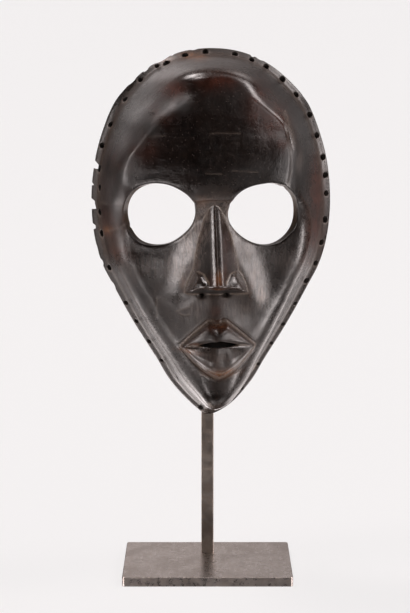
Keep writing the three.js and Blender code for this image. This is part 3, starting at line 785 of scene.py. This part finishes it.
# Zones of the patina, of a painted sheen and of painted shade: soft ovals, each by its middle, half width,
# half height and share
ZONES = {
    "umber": (
        (-26, 214, 9, 9, 0.9), (-33, 203, 7, 9, 0.6), (3, 221, 14, 6, 0.7), (28, 207, 8, 12, 0.9),
        (37, 196, 9, 12, 1.0), (43, 184, 6, 7, 0.7), (-46, 180, 9, 9, 0.7), (-58, 172, 9, 9, 0.5),
        (-62, 150, 8, 12, 0.5), (-64, 130, 7, 14, 0.8), (-60, 112, 8, 7, 0.8), (68, 150, 6, 22, 1.0),
        (66, 122, 7, 18, 1.0), (62, 104, 6, 8, 0.6), (1.5, 99, 5, 4, 1.0), (3.5, 67, 8, 2.4, 1.0),
        (2, 76, 3.5, 3, 0.8), (3.2, 68, 5, 2.2, 1.0), (-44, 148, 6, 7, 0.5), (6.5, 110, 2.5, 22, 0.6),
        (9, 118, 5, 16, 0.4),
    ),
    "ochre": (
        (4, 36.4, 9, 2.8, 1.0), (10, 38, 4.0, 2.2, 0.9), (-16, 50.5, 6, 1.6, 0.8), (-11, 55.5, 5, 1.2, 0.4),
        (2, 93.2, 4, 1.0, 0.8), (3.2, 68.3, 4.5, 1.6, 0.7), (2.5, 101, 2.5, 4, 0.6), (-8, 147, 5, 3, 0.25),
        (-67.5, 125, 2.4, 3, 0.6), (-65.5, 127, 2.5, 1.6, 0.6), (-56, 136, 2, 8, 0.3),
        (-12, 235, 9, 2.5, 0.7), (-30, 233, 8, 2.5, 0.4), (24, 93, 2, 7, 0.3), (-19, 93, 2, 5, 0.3),
    ),
    # Pale dust, and beside the nose a painted sheen that stands in for highlights on the cheeks
    "dust_and_sheen": (
        (-7, 140, 4, 7, 1.0), (-10, 130, 5, 11, 1.0), (-15, 117, 7, 13, 1.0), (-21, 104, 8, 10, 0.9),
        (8, 140, 4, 7, 1.0), (13, 130, 4, 10, 0.8), (20, 113, 7, 13, 0.6), (27, 100, 6, 12, 0.6),
        (31, 86, 4, 8, 1.0), (-2, 147, 12, 4, 0.3), (52.5, 171, 3, 6, 0.7), (-10, 76, 12, 8, 0.22),
        (16, 76, 12, 8, 0.22), (-40, 104, 16, 7, 0.25), (46, 108, 13, 7, 0.25), (3, 46, 18, 8, 0.2),
        (-60, 118, 8, 12, 0.2),
    ),
    "gloss": (
        (0.5, 66, 6, 4, 0.7), (-4, 44, 9, 6, 0.4), (12, 44, 9, 6, 0.4), (2, 118, 4, 26, 0.6),
        (-6.5, 97, 4, 4, 1.0), (10, 96, 4, 4, 1.0), (-14, 54, 8, 5, 0.2), (-24, 226, 12, 6, 0.6),
        (44, 196, 6, 16, 0.5), (-13, 112, 5, 14, 0.6), (24, 98, 6, 16, 0.6),
    ),
    # Painted shade: near-black under the nose and in the nostrils, and on patches of the forehead, temples
    # and cheek
    "painted_shade": (
        (0.5, 89.3, 18, 2.0, 1.0), (-6.9, 86.0, 3.2, 2.2, 1.0), (8.1, 86.8, 3.2, 2.2, 1.0),
        (50, 168, 8, 16, 0.8), (0.5, 91, 10, 1.6, 1.0), (-62, 150, 7, 20, 0.9), (-11, 90, 5, 2, 0.9),
        (12, 90, 5, 2, 0.9), (-31, 205, 7, 7, 0.7), (-20, 206, 7, 6, 0.95), (-40, 193, 8, 8, 0.7),
        (-48, 186, 7, 9, 0.8), (-56, 173, 7, 9, 0.8), (-58, 162, 7, 10, 0.9), (31, 205, 5, 6, 0.5),
        (-46, 84, 8, 8, 0.4),
    ),
    "matte": (
        (-6, 234, 42, 7, 0.9), (-9, 61, 11, 6, 1.0), (15, 61, 10, 6, 1.0), (3, 45, 20, 9, 0.75),
        (36, 200, 7, 10, 0.4), (-9, 76, 16, 9, 1.0), (14, 76, 16, 9, 1.0), (-24, 66, 12, 14, 0.9),
        (25, 62, 10, 14, 0.9), (-2, 152, 15, 6, 0.9), (-66, 150, 9, 16, 0.9), (-66, 125, 9, 16, 0.9),
        (-36, 84, 10, 16, 0.7), (3, 27, 22, 5, 0.5), (66, 130, 9, 30, 0.5), (2, 83, 18, 4, 1.0),
        (48, 100, 10, 16, 0.6), (-52, 96, 12, 12, 0.6),
    ),
}


def spots(rows):
    """A map of soft ovals; where they overlap, the stronger one holds."""
    field = 0.0 * X
    for *place, share in rows:
        field = np.maximum(field, share * oval(*place))
    return field


def mask_maps():
    """Edges that hands have worn, creases that hold dirt, the zones of the patina, and the places of painted
    sheen and painted shade, from 0 to 1.
    """
    near_mean, far_mean = blur(FACE, 1.6), blur(FACE, 7.0)
    worn = np.clip((FACE - near_mean) / 0.28, 0, 1) * ramp(1.0, 3.0, inset)
    hollow = np.clip((near_mean - FACE) / 0.30, 0, 1)
    features = np.maximum(
        ramp(26, 21, np.abs(across)) * ramp(82, 86, Z) * ramp(150, 146, Z),
        ramp(1.2, 1.05, np.abs(across) / MOUTH_HALF) * ramp(28, 31, Z) * ramp(76, 72, Z),
    )
    crease = hollow * (1 - features) + 0.45 * np.clip((far_mean - FACE) / 1.6, 0, 1)
    maps = {"worn": worn, "crease": np.clip(crease, 0, 1), "line": hollow * features, "marks": marks}
    for name, rows in ZONES.items():
        maps[name] = spots(rows)
    return maps


def store(mesh, name, values):
    """Keeps one value for each of a mesh's points, under a name that a material reads."""
    layer = mesh.attributes.new(name, "FLOAT", "POINT")
    layer.data.foreach_set("value", values.astype(np.float32))


def paint_maps(obj, maps):
    """Stores each map on the object's points, where a point lies on the hollow's side, where shade is painted
    in the slit, and a painted highlight round each cord hole.
    """
    mesh = obj.data
    co = np.empty(len(mesh.vertices) * 3)
    mesh.vertices.foreach_get("co", co)
    p = co.reshape(-1, 3) / MM - np.array(MASK_PLACE)
    c, s = math.cos(-MASK_TURN), math.sin(-MASK_TURN)
    x = (p[:, 0] * c - p[:, 1] * s) / GRID
    depth = -(p[:, 0] * s + p[:, 1] * c) / GRID
    z = p[:, 2] / GRID
    for name, field in maps.items():
        store(mesh, name, sample(field, x, z))
    below = sample(FACE, x, z) - depth
    behind = np.clip((below - 1.2) / 3.0, 0, 1)
    flat_rim = np.clip(1 - depth / 0.6, 0, 1)
    store(mesh, "behind", np.maximum(behind, flat_rim))
    # Painted shade: the slit's walls, which lie behind the lips' front, are marked for near-black
    in_slit = (np.abs(x - SLIT_PLACE) < SLIT_HALF[0] + 0.6) & (np.abs(z - SLIT) < 5) & (below > 0.5)
    store(mesh, "dark", in_slit)
    # A painted highlight: a pale crescent round each cord hole, strongest below it, as if its lower wall
    # caught the light
    place, _, size = hole_points()
    points = np.column_stack([x, z, depth])
    lip = np.zeros(len(x))
    for (hx, hd, hz), wide in zip(place, size):
        gap = points - (hx, hz, -hd)
        far = np.linalg.norm(gap, axis=1) / (wide * HOLE_RADIUS / GRID)
        lip = np.maximum(lip, np.exp(-(((far - 1.25) / 0.3) ** 2)) * np.clip(0.4 - gap[:, 1] * 0.5, 0, 1))
    store(mesh, "painted_hole_highlight", lip)


# Node helpers


class Net:
    """A node tree with short ways to add and join nodes."""

    def __init__(self, tree):
        self.tree = tree

    def node(self, kind, inputs=None, **props):
        made = self.tree.nodes.new(kind)
        for key, value in props.items():
            setattr(made, key, value)
        for key, value in (inputs or {}).items():
            self.set(made.inputs[key], value)
        return made

    def set(self, socket, value):
        if isinstance(value, bpy.types.NodeSocket):
            self.tree.links.new(value, socket)
        else:
            socket.default_value = value

    def math(self, operation, a, b=0.0, clamp=False):
        made = self.node("ShaderNodeMath", operation=operation, use_clamp=clamp)
        self.set(made.inputs[0], a)
        self.set(made.inputs[1], b)
        return made.outputs[0]

    def mix(self, share, a, b):
        made = self.node("ShaderNodeMix", data_type="RGBA")
        self.set(made.inputs[0], share)
        self.set(made.inputs[6], a)
        self.set(made.inputs[7], b)
        return made.outputs[2]

    def span(self, value, low, high, to_low=0.0, to_high=1.0, smooth=True):
        kind = "SMOOTHSTEP" if smooth else "LINEAR"
        made = self.node("ShaderNodeMapRange", interpolation_type=kind)
        for k, v in enumerate((value, low, high, to_low, to_high)):
            self.set(made.inputs[k], v)
        return made.outputs[0]

    def noise(self, vector, scale, detail=3.0, rough=0.55, warp=0.0):
        made = self.node("ShaderNodeTexNoise")
        for key, value in (("Vector", vector), ("Scale", scale), ("Detail", detail),
                           ("Roughness", rough), ("Distortion", warp)):
            self.set(made.inputs[key], value)
        return made.outputs["Fac"]

    def stretch(self, vector, scale, turn=(0.0, 0.0, 0.0)):
        made = self.node("ShaderNodeMapping")
        self.set(made.inputs["Vector"], vector)
        made.inputs["Rotation"].default_value = turn
        made.inputs["Scale"].default_value = scale
        return made.outputs[0]

    def attribute(self, name):
        return self.node("ShaderNodeAttribute", attribute_name=name).outputs["Fac"]


def group(name, inputs, outputs):
    """A new shader node group with those sockets; gives the group, its net, and its two ends."""
    tree = bpy.data.node_groups.new(name, "ShaderNodeTree")
    for label, kind, value in inputs:
        socket = tree.interface.new_socket(label, in_out="INPUT", socket_type=kind)
        if value is not None:
            socket.default_value = value
    for label, kind in outputs:
        tree.interface.new_socket(label, in_out="OUTPUT", socket_type=kind)
    net = Net(tree)
    return tree, net, net.node("NodeGroupInput").outputs, net.node("NodeGroupOutput").inputs


def scratches_group():
    """Fine straight scratches: where a stretched noise crosses its middle, broken up by a coarser one."""
    tree, net, ins, outs = group(
        "fine scratches",
        [("Vector", "NodeSocketVector", None), ("Scale", "NodeSocketFloat", 1.0),
         ("Amount", "NodeSocketFloat", 0.5)],
        [("Mask", "NodeSocketFloat")],
    )
    lines = None
    for k, (turn, scale) in enumerate((
        ((0, 0.15, 0), (30, 30, 700)), ((0, -0.7, 0), (26, 26, 620)), ((0, 1.45, 0), (34, 34, 820)),
    )):
        moved = net.stretch(ins["Vector"], scale, turn)
        line = net.noise(moved, ins["Scale"], 1.0, 0.4)
        near = net.math("ABSOLUTE", net.math("SUBTRACT", line, 0.5))
        thin = net.span(near, 0.0, 0.010, 1.0, 0.0)
        patch = net.noise(net.stretch(ins["Vector"], (55, 55, 55), (0, 0, k)), 1.0, 2.0)
        thin = net.math("MULTIPLY", thin, net.span(patch, 0.56, 0.66))
        lines = thin if lines is None else net.math("MAXIMUM", lines, thin)
    net.set(outs["Mask"], net.math("MULTIPLY", lines, ins["Amount"]))
    return tree


def blotches_group():
    """Soft irregular patches at two sizes, from 0 to 1."""
    tree, net, ins, outs = group(
        "soft blotches",
        [("Vector", "NodeSocketVector", None), ("Scale", "NodeSocketFloat", 30.0)],
        [("Broad", "NodeSocketFloat"), ("Fine", "NodeSocketFloat")],
    )
    broad = net.noise(ins["Vector"], ins["Scale"], 4.0, 0.6, 0.4)
    fine = net.noise(ins["Vector"], net.math("MULTIPLY", ins["Scale"], 6.0), 5.0, 0.65)
    net.set(outs["Broad"], net.span(broad, 0.36, 0.64))
    net.set(outs["Fine"], net.span(fine, 0.35, 0.68))
    return tree


SCRATCHES = scratches_group()
BLOTCHES = blotches_group()


def use(net, tree, **inputs):
    """Places a node group in a tree; gives its outputs."""
    made = net.node("ShaderNodeGroup")
    made.node_tree = tree
    for key, value in inputs.items():
        net.set(made.inputs[key], value)
    return made.outputs


def material(name, rough, **principled):
    """A new material; gives it, its net, its shader and the object's own coordinates."""
    made = bpy.data.materials.new(name)
    made.use_nodes = True
    made.node_tree.nodes.clear()
    net = Net(made.node_tree)
    shader = net.node("ShaderNodeBsdfPrincipled")
    for key, value in principled.items():
        shader.inputs[key.replace("_", " ")].default_value = value
    if rough is not None:
        shader.inputs["Roughness"].default_value = rough
    surface = net.node("ShaderNodeOutputMaterial")
    net.tree.links.new(shader.outputs[0], surface.inputs["Surface"])
    where = net.node("ShaderNodeTexCoord").outputs["Object"]
    return made, net, shader, where


# Colours of the patina, as linear values; one pale colour is also a painted sheen, one a painted highlight
# round the cord holes, and the two last near-blacks are painted shade
BLACKEST = (0.0028, 0.0020, 0.0018, 1)
BLACK = (0.0080, 0.0054, 0.0045, 1)
MOTTLE = (0.0150, 0.0098, 0.0078, 1)
MATTE = (0.029, 0.0190, 0.0142, 1)
UMBER = (0.058, 0.0135, 0.0060, 1)
DUST_AND_SHEEN = (0.27, 0.220, 0.195, 1)
DIRT = (0.060, 0.038, 0.026, 1)
OCHRE = (0.22, 0.092, 0.036, 1)
PALE_LINE = (0.165, 0.125, 0.098, 1)
WORN = (0.065, 0.034, 0.022, 1)
PAINTED_HOLE_HIGHLIGHT = (0.13, 0.10, 0.085, 1)
SCRATCH = (0.15, 0.12, 0.10, 1)
SPECK = (0.12, 0.10, 0.09, 1)
RAW_DARK = (0.050, 0.029, 0.017, 1)
RAW_LIGHT = (0.105, 0.066, 0.040, 1)
PAINTED_SHADE = (0.0030, 0.0022, 0.0018, 1)
PAINTED_SLIT_SHADE = (0.0010, 0.0008, 0.0008, 1)


def weighted_sum(net, start, parts):
    """A value plus each part times its weight."""
    total = start
    for part, weight in parts:
        total = net.math("ADD", total, net.math("MULTIPLY", part, weight))
    return total


def fine_bump(net, shader, height, strength, distance):
    """Fine relief on a material's surface."""
    bump = net.node("ShaderNodeBump", {"Strength": strength, "Distance": distance, "Height": height})
    net.set(shader.inputs["Normal"], bump.outputs[0])


def dark_wood():
    """Handled, blackened wood: brown where rubbed, dusty in the creases, with fine grain and scratches; with
    a painted sheen beside the nose, painted highlights round the cord holes, and painted shade under the
    nose, in the nostrils and in the slit.
    """
    made, net, shader, where = material("dark wood patina", None)
    patches = use(net, BLOTCHES, Vector=where, Scale=26.0)
    small = use(net, BLOTCHES, Vector=where, Scale=120.0)
    grain = net.noise(net.stretch(where, (420, 420, 26)), 1.0, 4.0, 0.6, 0.3)
    scratches = use(net, SCRATCHES, Vector=where, Scale=1.0, Amount=1.0)["Mask"]
    streaks = net.noise(net.stretch(where, (900, 900, 130)), 1.0, 3.0, 0.6)
    streak = net.span(streaks, 0.36, 0.62)
    mottle = net.span(net.noise(where, 300.0, 4.0, 0.7), 0.42, 0.66)
    specks = net.span(net.noise(where, 900.0, 2.0, 0.5), 0.68, 0.73)
    dust_and_sheen, matte, gloss, painted_shade = (net.attribute(name) for name in ("dust_and_sheen", "matte", "gloss", "painted_shade"))
    crease, dark, behind = (net.attribute(name) for name in ("crease", "dark", "behind"))

    def layer(below, zone, broken, paint):
        """One layer of the patina over what lies below: its zone, broken up by a pattern."""
        return net.mix(net.math("MULTIPLY", zone, broken, clamp=True), below, paint)

    colour = net.mix(patches["Broad"], BLACKEST, BLACK)
    colour = net.mix(net.math("MULTIPLY", mottle, 0.55), colour, MOTTLE)
    colour = layer(colour, matte, net.span(patches["Fine"], 0, 1, 0.35, 1.0), MATTE)
    colour = layer(colour, net.attribute("umber"), net.span(patches["Fine"], 0, 1, 0.5, 1.0), UMBER)
    # Pale dust, which beside the nose is also a painted sheen
    colour = layer(colour, dust_and_sheen, net.math("ADD", 0.15, net.math("MULTIPLY", streak, 0.7)), DUST_AND_SHEEN)
    colour = layer(colour, crease, net.span(small["Fine"], 0, 1, 0.2, 0.7), DIRT)
    colour = layer(colour, net.attribute("ochre"), net.span(small["Broad"], 0, 1, 0.35, 1.0), OCHRE)
    colour = layer(colour, net.attribute("line"), net.span(small["Fine"], 0, 1, 0.45, 0.95), PALE_LINE)
    colour = layer(colour, net.attribute("worn"), net.span(small["Fine"], 0, 1, 0.05, 0.6), WORN)
    # Painted highlight: a pale crescent round each cord hole
    colour = net.mix(net.math("MULTIPLY", net.attribute("painted_hole_highlight"), 0.7), colour, PAINTED_HOLE_HIGHLIGHT)
    long_marks = net.math("MULTIPLY", net.attribute("marks"), 0.9)
    colour = net.mix(net.math("MAXIMUM", net.math("MULTIPLY", scratches, 0.1), long_marks), colour, SCRATCH)
    colour = net.mix(net.math("MULTIPLY", specks, 0.5), colour, SPECK)
    colour = net.mix(behind, colour, net.mix(net.span(grain, 0.35, 0.65), RAW_DARK, RAW_LIGHT))
    # Painted shade under the nose, in the nostrils and on patches of the forehead, temples and cheek
    colour = net.mix(net.math("MULTIPLY", painted_shade, 0.9), colour, PAINTED_SHADE)
    # Painted shade: near-black in the slit between the lips
    colour = net.mix(dark, colour, PAINTED_SLIT_SHADE)
    net.set(shader.inputs["Base Color"], colour)

    rough = weighted_sum(
        net,
        net.span(patches["Fine"], 0, 1, 0.15, 0.25, False),
        ((painted_shade, 0.35), (mottle, 0.03), (gloss, -0.07), (dust_and_sheen, 0.08),
         (matte, 0.26), (dark, 0.6), (crease, 0.2), (behind, 0.35)),
    )
    net.set(shader.inputs["Roughness"], net.math("ADD", rough, 0.0, clamp=True))
    shader.inputs["Specular IOR Level"].default_value = 0.58
    shader.inputs["Coat Weight"].default_value = 0.3
    shader.inputs["Coat Roughness"].default_value = 0.12

    height = weighted_sum(
        net,
        net.math("MULTIPLY", grain, 0.35),
        ((small["Fine"], 0.45), (patches["Fine"], 0.9), (net.math("MULTIPLY", streaks, dust_and_sheen), 2.4),
         (scratches, -0.2)),
    )
    fine_bump(net, shader, height, 0.6, 0.12 * MM)
    return made


def hole_wood():
    """The dark inside of a cord hole."""
    made, net, shader, where = material("bored wood", 0.8)
    grain = net.noise(net.stretch(where, (700, 700, 120)), 1.0, 3.0)
    net.set(
        shader.inputs["Base Color"],
        net.mix(grain, (0.006, 0.004, 0.003, 1), (0.022, 0.014, 0.009, 1)),
    )
    return made


def patinated_steel(name, dark, light, brown, rough):
    """Brown chemical patina on cold-rolled steel, with faint cloudy patches and wiping marks."""
    made, net, shader, where = material(name, None, Metallic=1.0)
    patches = use(net, BLOTCHES, Vector=where, Scale=55.0)
    wiped = net.noise(net.stretch(where, (240, 16, 240), (0, 0, 0.3)), 1.0, 3.0)
    scratches = use(net, SCRATCHES, Vector=where, Scale=0.8, Amount=1.0)["Mask"]
    colour = net.mix(patches["Broad"], dark, light)
    colour = net.mix(net.math("MULTIPLY", patches["Fine"], 0.45), colour, brown)
    colour = net.mix(net.math("MULTIPLY", scratches, 0.3), colour, (0.34, 0.31, 0.28, 1))
    net.set(shader.inputs["Base Color"], colour)
    cloudy = net.math("ADD", wiped, net.math("MULTIPLY", patches["Fine"], 0.4))
    net.set(shader.inputs["Roughness"], net.span(cloudy, 0.4, 1.0, *rough))
    fine_bump(net, shader, net.math("ADD", patches["Fine"], wiped), 0.25, 0.08 * MM)
    return made


WOOD = dark_wood()
BORED = hole_wood()
POST_STEEL = patinated_steel(
    "post steel", (0.30, 0.265, 0.24, 1), (0.46, 0.41, 0.37, 1), (0.32, 0.25, 0.20, 1), (0.34, 0.46)
)
PLATE_STEEL = patinated_steel(
    "plate steel", (0.54, 0.485, 0.455, 1), (0.70, 0.64, 0.61, 1), (0.50, 0.42, 0.36, 1), (0.26, 0.38)
)


# Cord holes: bores set along the rim, cut through the flank


def perforations_tree():
    """A bore at each point, along the point's own aim and as wide as its own size, a little uneven."""
    tree = bpy.data.node_groups.new("cord holes along the rim", "GeometryNodeTree")
    face = tree.interface
    face.new_socket("Points", in_out="INPUT", socket_type="NodeSocketGeometry")
    for label, kind, value in (
        ("Radius", "NodeSocketFloat", HOLE_RADIUS * MM), ("Length", "NodeSocketFloat", 28 * MM),
        ("Unevenness", "NodeSocketFloat", 0.22), ("Seed", "NodeSocketInt", 4),
    ):
        face.new_socket(label, in_out="INPUT", socket_type=kind).default_value = value
    face.new_socket("Material", in_out="INPUT", socket_type="NodeSocketMaterial")
    face.new_socket("Bores", in_out="OUTPUT", socket_type="NodeSocketGeometry")
    net = Net(tree)
    ins = net.node("NodeGroupInput").outputs
    outs = net.node("NodeGroupOutput").inputs
    bore = net.node(
        "GeometryNodeMeshCylinder",
        {"Vertices": 14, "Radius": ins["Radius"], "Depth": ins["Length"]},
    )
    aim = net.node("GeometryNodeInputNamedAttribute", {"Name": "aim"}, data_type="FLOAT_VECTOR")
    wide = net.node("GeometryNodeInputNamedAttribute", {"Name": "size"}, data_type="FLOAT")
    low = net.math("SUBTRACT", 1.0, ins["Unevenness"])
    high = net.math("ADD", 1.0, ins["Unevenness"])
    uneven = net.node(
        "FunctionNodeRandomValue",
        {"Min": low, "Max": high, "Seed": ins["Seed"]},
        data_type="FLOAT",
    )
    across = net.math("MULTIPLY", wide.outputs["Attribute"], uneven.outputs["Value"])
    scale = net.node("ShaderNodeCombineXYZ", {"X": wide.outputs["Attribute"], "Y": across, "Z": 1.0})
    turn = net.node("FunctionNodeAlignRotationToVector", {"Vector": aim.outputs["Attribute"]}, axis="Z")
    placed = net.node(
        "GeometryNodeInstanceOnPoints",
        {"Points": ins["Points"], "Instance": bore.outputs["Mesh"],
         "Rotation": turn.outputs[0], "Scale": scale.outputs[0]},
    )
    real = net.node("GeometryNodeRealizeInstances", {"Geometry": placed.outputs[0]})
    done = net.node("GeometryNodeSetMaterial", {"Geometry": real.outputs[0], "Material": ins["Material"]})
    net.set(outs["Bores"], done.outputs[0])
    return tree


def hole_points():
    """The cord holes' places on the rim, in drawn units, and the way each is bored."""
    rows = np.array(HOLES)
    near = np.argmin(np.hypot(rows[:, None, 0] - rim[None, :, 0], rows[:, None, 1] - rim[None, :, 1]), axis=1)
    outwards = rim_normal[near]
    place = np.column_stack([rows[:, 0], -rows[:, 2], rows[:, 1]])
    aim = np.column_stack([outwards[:, 0], -rows[:, 4], outwards[:, 1]])
    return place, aim / np.linalg.norm(aim, axis=1)[:, None], rows[:, 3]


def plain_copy(obj, name):
    """The object's evaluated mesh as a plain object."""
    seen = obj.evaluated_get(bpy.context.evaluated_depsgraph_get())
    mesh = bpy.data.meshes.new_from_object(seen)
    made = bpy.data.objects.new(name, mesh)
    bpy.context.scene.collection.objects.link(made)
    return made


def cut_cord_holes(obj):
    """Bores the cord holes through the flank."""
    place, aim, size = hole_points()
    guide = mesh_object("cord hole places", into_row(place), np.empty((0, 3), int))
    turned = (into_row(place + aim) - into_row(place)) / MM
    layer = guide.data.attributes.new("aim", "FLOAT_VECTOR", "POINT")
    layer.data.foreach_set("vector", turned.astype(np.float32).ravel())
    store(guide.data, "size", size)
    modifier = guide.modifiers.new("cord holes", "NODES")
    modifier.node_group = perforations_tree()
    for item in modifier.node_group.interface.items_tree:
        if item.name == "Material":
            modifier[item.identifier] = BORED
    bores = plain_copy(guide, "cord bores")
    cutting = obj.modifiers.new("cord holes", "BOOLEAN")
    cutting.operation = "DIFFERENCE"
    cutting.solver = "MANIFOLD"
    cutting.object = bores
    cut = plain_copy(obj, "cut mask")
    for used in (obj, guide, bores):
        bpy.data.objects.remove(used)
    return cut


mask.data.materials.append(WOOD)
mask.data.materials.append(BORED)
mask = cut_cord_holes(mask)
mask.name = "carved_mask"
paint_maps(mask, mask_maps())
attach(mask, "root")
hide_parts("mask")


# The stand


def solid_object(name, points, faces):
    """A flat-shaded object from points in millimetres and faces."""
    mesh = bpy.data.meshes.new(name)
    mesh.from_pydata([tuple(c * MM for c in p) for p in points], [], faces)
    mesh.update()
    made = bpy.data.objects.new(name, mesh)
    bpy.context.scene.collection.objects.link(made)
    return made


def side_faces(rings, count):
    """The four-sided faces that join rings of points, and the face at each end."""
    faces = []
    for s in range(rings - 1):
        for k in range(count):
            a, b = s * count + k, s * count + (k + 1) % count
            faces.append((a, b, b + count, a + count))
    last = (rings - 1) * count
    return faces + [tuple(reversed(range(count))), tuple(range(last, last + count))]


def bar_mesh(name, sections, round_by):
    """A square bar through sections, each a list of four corners, with its long edges just broken."""
    points = []
    for section in sections:
        corners = [Vector(c) for c in section]
        for k, corner in enumerate(corners):
            before, after = corners[k - 1], corners[(k + 1) % 4]
            points.append(corner + (before - corner).normalized() * round_by)
            points.append(corner + (after - corner).normalized() * round_by)
    return solid_object(name, points, side_faces(len(sections), 8))


def post_sections():
    """The bar's sections: at the foot, at its bend and at the tip under the hollow's roof."""
    h = POST_SIDE / 2
    front, back, top = POST_FRONT, POST_FRONT + POST_SIDE, POST_TOP
    low, inner = PLATE[2], top - POST_SIDE
    square = [(-h, front, 0), (h, front, 0), (h, back, 0), (-h, back, 0)]
    foot = [(x, y, low) for x, y, _ in square]
    bend = [(x, y, inner if y == front else top) for x, y, _ in square]
    tip = [(x, ARM_TIP, inner if y == front else top) for x, y, _ in square]
    return [foot, bend, tip]


def plate_mesh():
    """The plate: a rounded rectangle with its top and bottom edges just broken."""
    w, d, t = (PLATE[0] / 2, PLATE[1] / 2, PLATE[2])
    r, e = PLATE_CORNER, PLATE_EDGE
    rings = []
    for inwards, z in ((e, 0), (0, e), (0, t - e), (e, t)):
        loop = []
        for k, (cx, cy) in enumerate(((w - r, d - r), (r - w, d - r), (r - w, r - d), (w - r, r - d))):
            for s in range(7):
                a = math.pi / 2 * (k + s / 6)
                loop.append((cx + (r - inwards) * math.cos(a), cy + (r - inwards) * math.sin(a), z))
        rings.append(loop)
    points = [p for loop in rings for p in loop]
    return solid_object("plate", points, side_faces(len(rings), len(rings[0])))


post = bar_mesh("post", post_sections(), POST_EDGE)
post.data.materials.append(POST_STEEL)
plate = plate_mesh()
plate.data.materials.append(PLATE_STEEL)
for piece, node, slot in ((post, "stand_post", "post_steel"), (plate, "base_plate", "plate_steel")):
    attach(piece, "root")
    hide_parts(node)


# The studio


SWEEP = {"front": -3.0, "bend": 1.2, "top": 2.6, "half": 2.6}
# The light that every way has, apart from the lamps, and the lamps' tint
DIM = 0.005
TINT = {"Green": 0.915, "Blue": 0.90}
PALE_PAPER = (0.875, 0.860, 0.860, 1)


def sweep():
    """A pale floor that curves up into a wall. Only the camera sees it, so the part mirrors none of it."""
    bend, steps = SWEEP["bend"], 16
    profile = [(SWEEP["front"], 0.0), (bend, 0.0)]
    for k in range(1, steps + 1):
        a = math.pi / 2 * k / steps
        profile.append((bend + bend * math.sin(a), bend - bend * math.cos(a)))
    profile.append((2 * bend, SWEEP["top"]))
    points = [(x, y, z) for y, z in profile for x in (-SWEEP["half"], SWEEP["half"])]
    faces = [(2 * k, 2 * k + 1, 2 * k + 3, 2 * k + 2) for k in range(len(profile) - 1)]
    mesh = bpy.data.meshes.new("studio sweep")
    mesh.from_pydata(points, [], faces)
    mesh.polygons.foreach_set("use_smooth", np.ones(len(faces), bool))
    made = bpy.data.objects.new("studio sweep", mesh)
    bpy.context.scene.collection.objects.link(made)
    paper, _, shader, _ = material("studio paper", 0.9)
    shader.inputs["Base Color"].default_value = (0.16, 0.158, 0.158, 1)
    shader.inputs["Specular IOR Level"].default_value = 0.0
    shader.inputs["Emission Color"].default_value = (1.0, 0.985, 0.988, 1)
    shader.inputs["Emission Strength"].default_value = 0.74
    mesh.materials.append(paper)
    made.visible_glossy = False
    made.visible_diffuse = False
    made.visible_shadow = False
    return made


floor = sweep()

# The studio's soft lamps as seen from the mask: the way to each from straight ahead towards the right and
# upwards in degrees, how tight it is, and its strength. The table began as the output of a scratch program
# that fitted it to tones of the photo. Since then each strength and 13 of the 34 ways were set one by one.
LIGHTS = (
    (95, 44, 60, 10.0), (-118, 61, 90, 18.0), (-58, -10, 60, 11.0), (54, 80, 50, 1.0), (93, 8, 120, 9.0),
    (-126, -45, 50, 9.0), (180, -23, 50, 4.4), (153, 43, 50, 1.8), (148, 8, 20, 0.22), (-22, -71, 50, 2.0),
    (57, -9, 60, 8.0), (-67, 15, 160, 16.0), (74, 61, 50, 2.4), (93, -3, 50, 1.2), (59, -59, 50, 1.6),
    (-96, 7, 50, 0.8), (38, 19, 110, 5.5), (123, -41, 50, 3.8), (-62, 64, 300, 24.0), (-25, -29, 150, 9.0),
    (-85, -37, 50, 1.4), (112, 14, 60, 1.2), (67, -24, 150, 15.0), (144, -28, 70, 3.2), (-150, 21, 50, 1.0),
    (-165, 29, 50, 0.8), (18, 31, 50, 0.3), (43, 50, 50, 0.5), (-158, -33, 50, 1.6), (-104, 34, 50, 0.2),
    (-124, 30, 50, 0.3), (27, -25, 50, 0.4), (18, -14, 50, 0.2), (180, 15, 90, 0.62),
)


def room():
    """The studio's light: soft round lamps in a dim room. The camera sees pale paper in their place."""
    world = bpy.data.worlds.new("studio room")
    bpy.context.scene.world = world
    world.use_nodes = True
    world.node_tree.nodes.clear()
    net = Net(world.node_tree)
    way = net.node("ShaderNodeTexCoord").outputs["Generated"]
    light = DIM
    for turn, rise, tight, strength in LIGHTS:
        a, b = math.radians(turn), math.radians(rise)
        middle = (math.cos(b) * math.sin(a), -math.cos(b) * math.cos(a), math.sin(b))
        facing = net.node("ShaderNodeVectorMath", {0: way, 1: middle}, operation="DOT_PRODUCT")
        lobe = net.math("POWER", net.math("MAXIMUM", facing.outputs["Value"], 0.0), float(tight))
        light = net.math("ADD", light, net.math("MULTIPLY", lobe, strength))
    tinted = {name: net.math("MULTIPLY", light, share) for name, share in TINT.items()}
    lamps = net.node("ShaderNodeCombineColor", {"Red": light, **tinted})
    seen = net.node("ShaderNodeLightPath").outputs["Is Camera Ray"]
    colour = net.mix(seen, lamps.outputs[0], PALE_PAPER)
    sky = net.node("ShaderNodeBackground", {"Color": colour, "Strength": 1.0})
    net.tree.links.new(sky.outputs[0], net.node("ShaderNodeOutputWorld").inputs["Surface"])


room()

# The photo's camera: the picture's height and the lens in pixels, its place, and how far it looks down
PHOTO_HEIGHT = 613
LENS_PIXELS = 1788
SENSOR = 36
CAMERA_PLACE = (-0.0016, -1.125, 0.353)
CAMERA_DIP = 9.1


def photo_camera():
    camera = bpy.data.cameras.new("camera")
    camera.sensor_fit = "VERTICAL"
    camera.sensor_height = SENSOR
    camera.lens = LENS_PIXELS / PHOTO_HEIGHT * SENSOR
    camera.clip_start = 0.01
    made = bpy.data.objects.new("camera", camera)
    made.location = CAMERA_PLACE
    made.rotation_euler = (math.radians(90 - CAMERA_DIP), 0, 0)
    bpy.context.scene.collection.objects.link(made)
    bpy.context.scene.camera = made


photo_camera()
bpy.context.scene.view_settings.view_transform = "Standard"
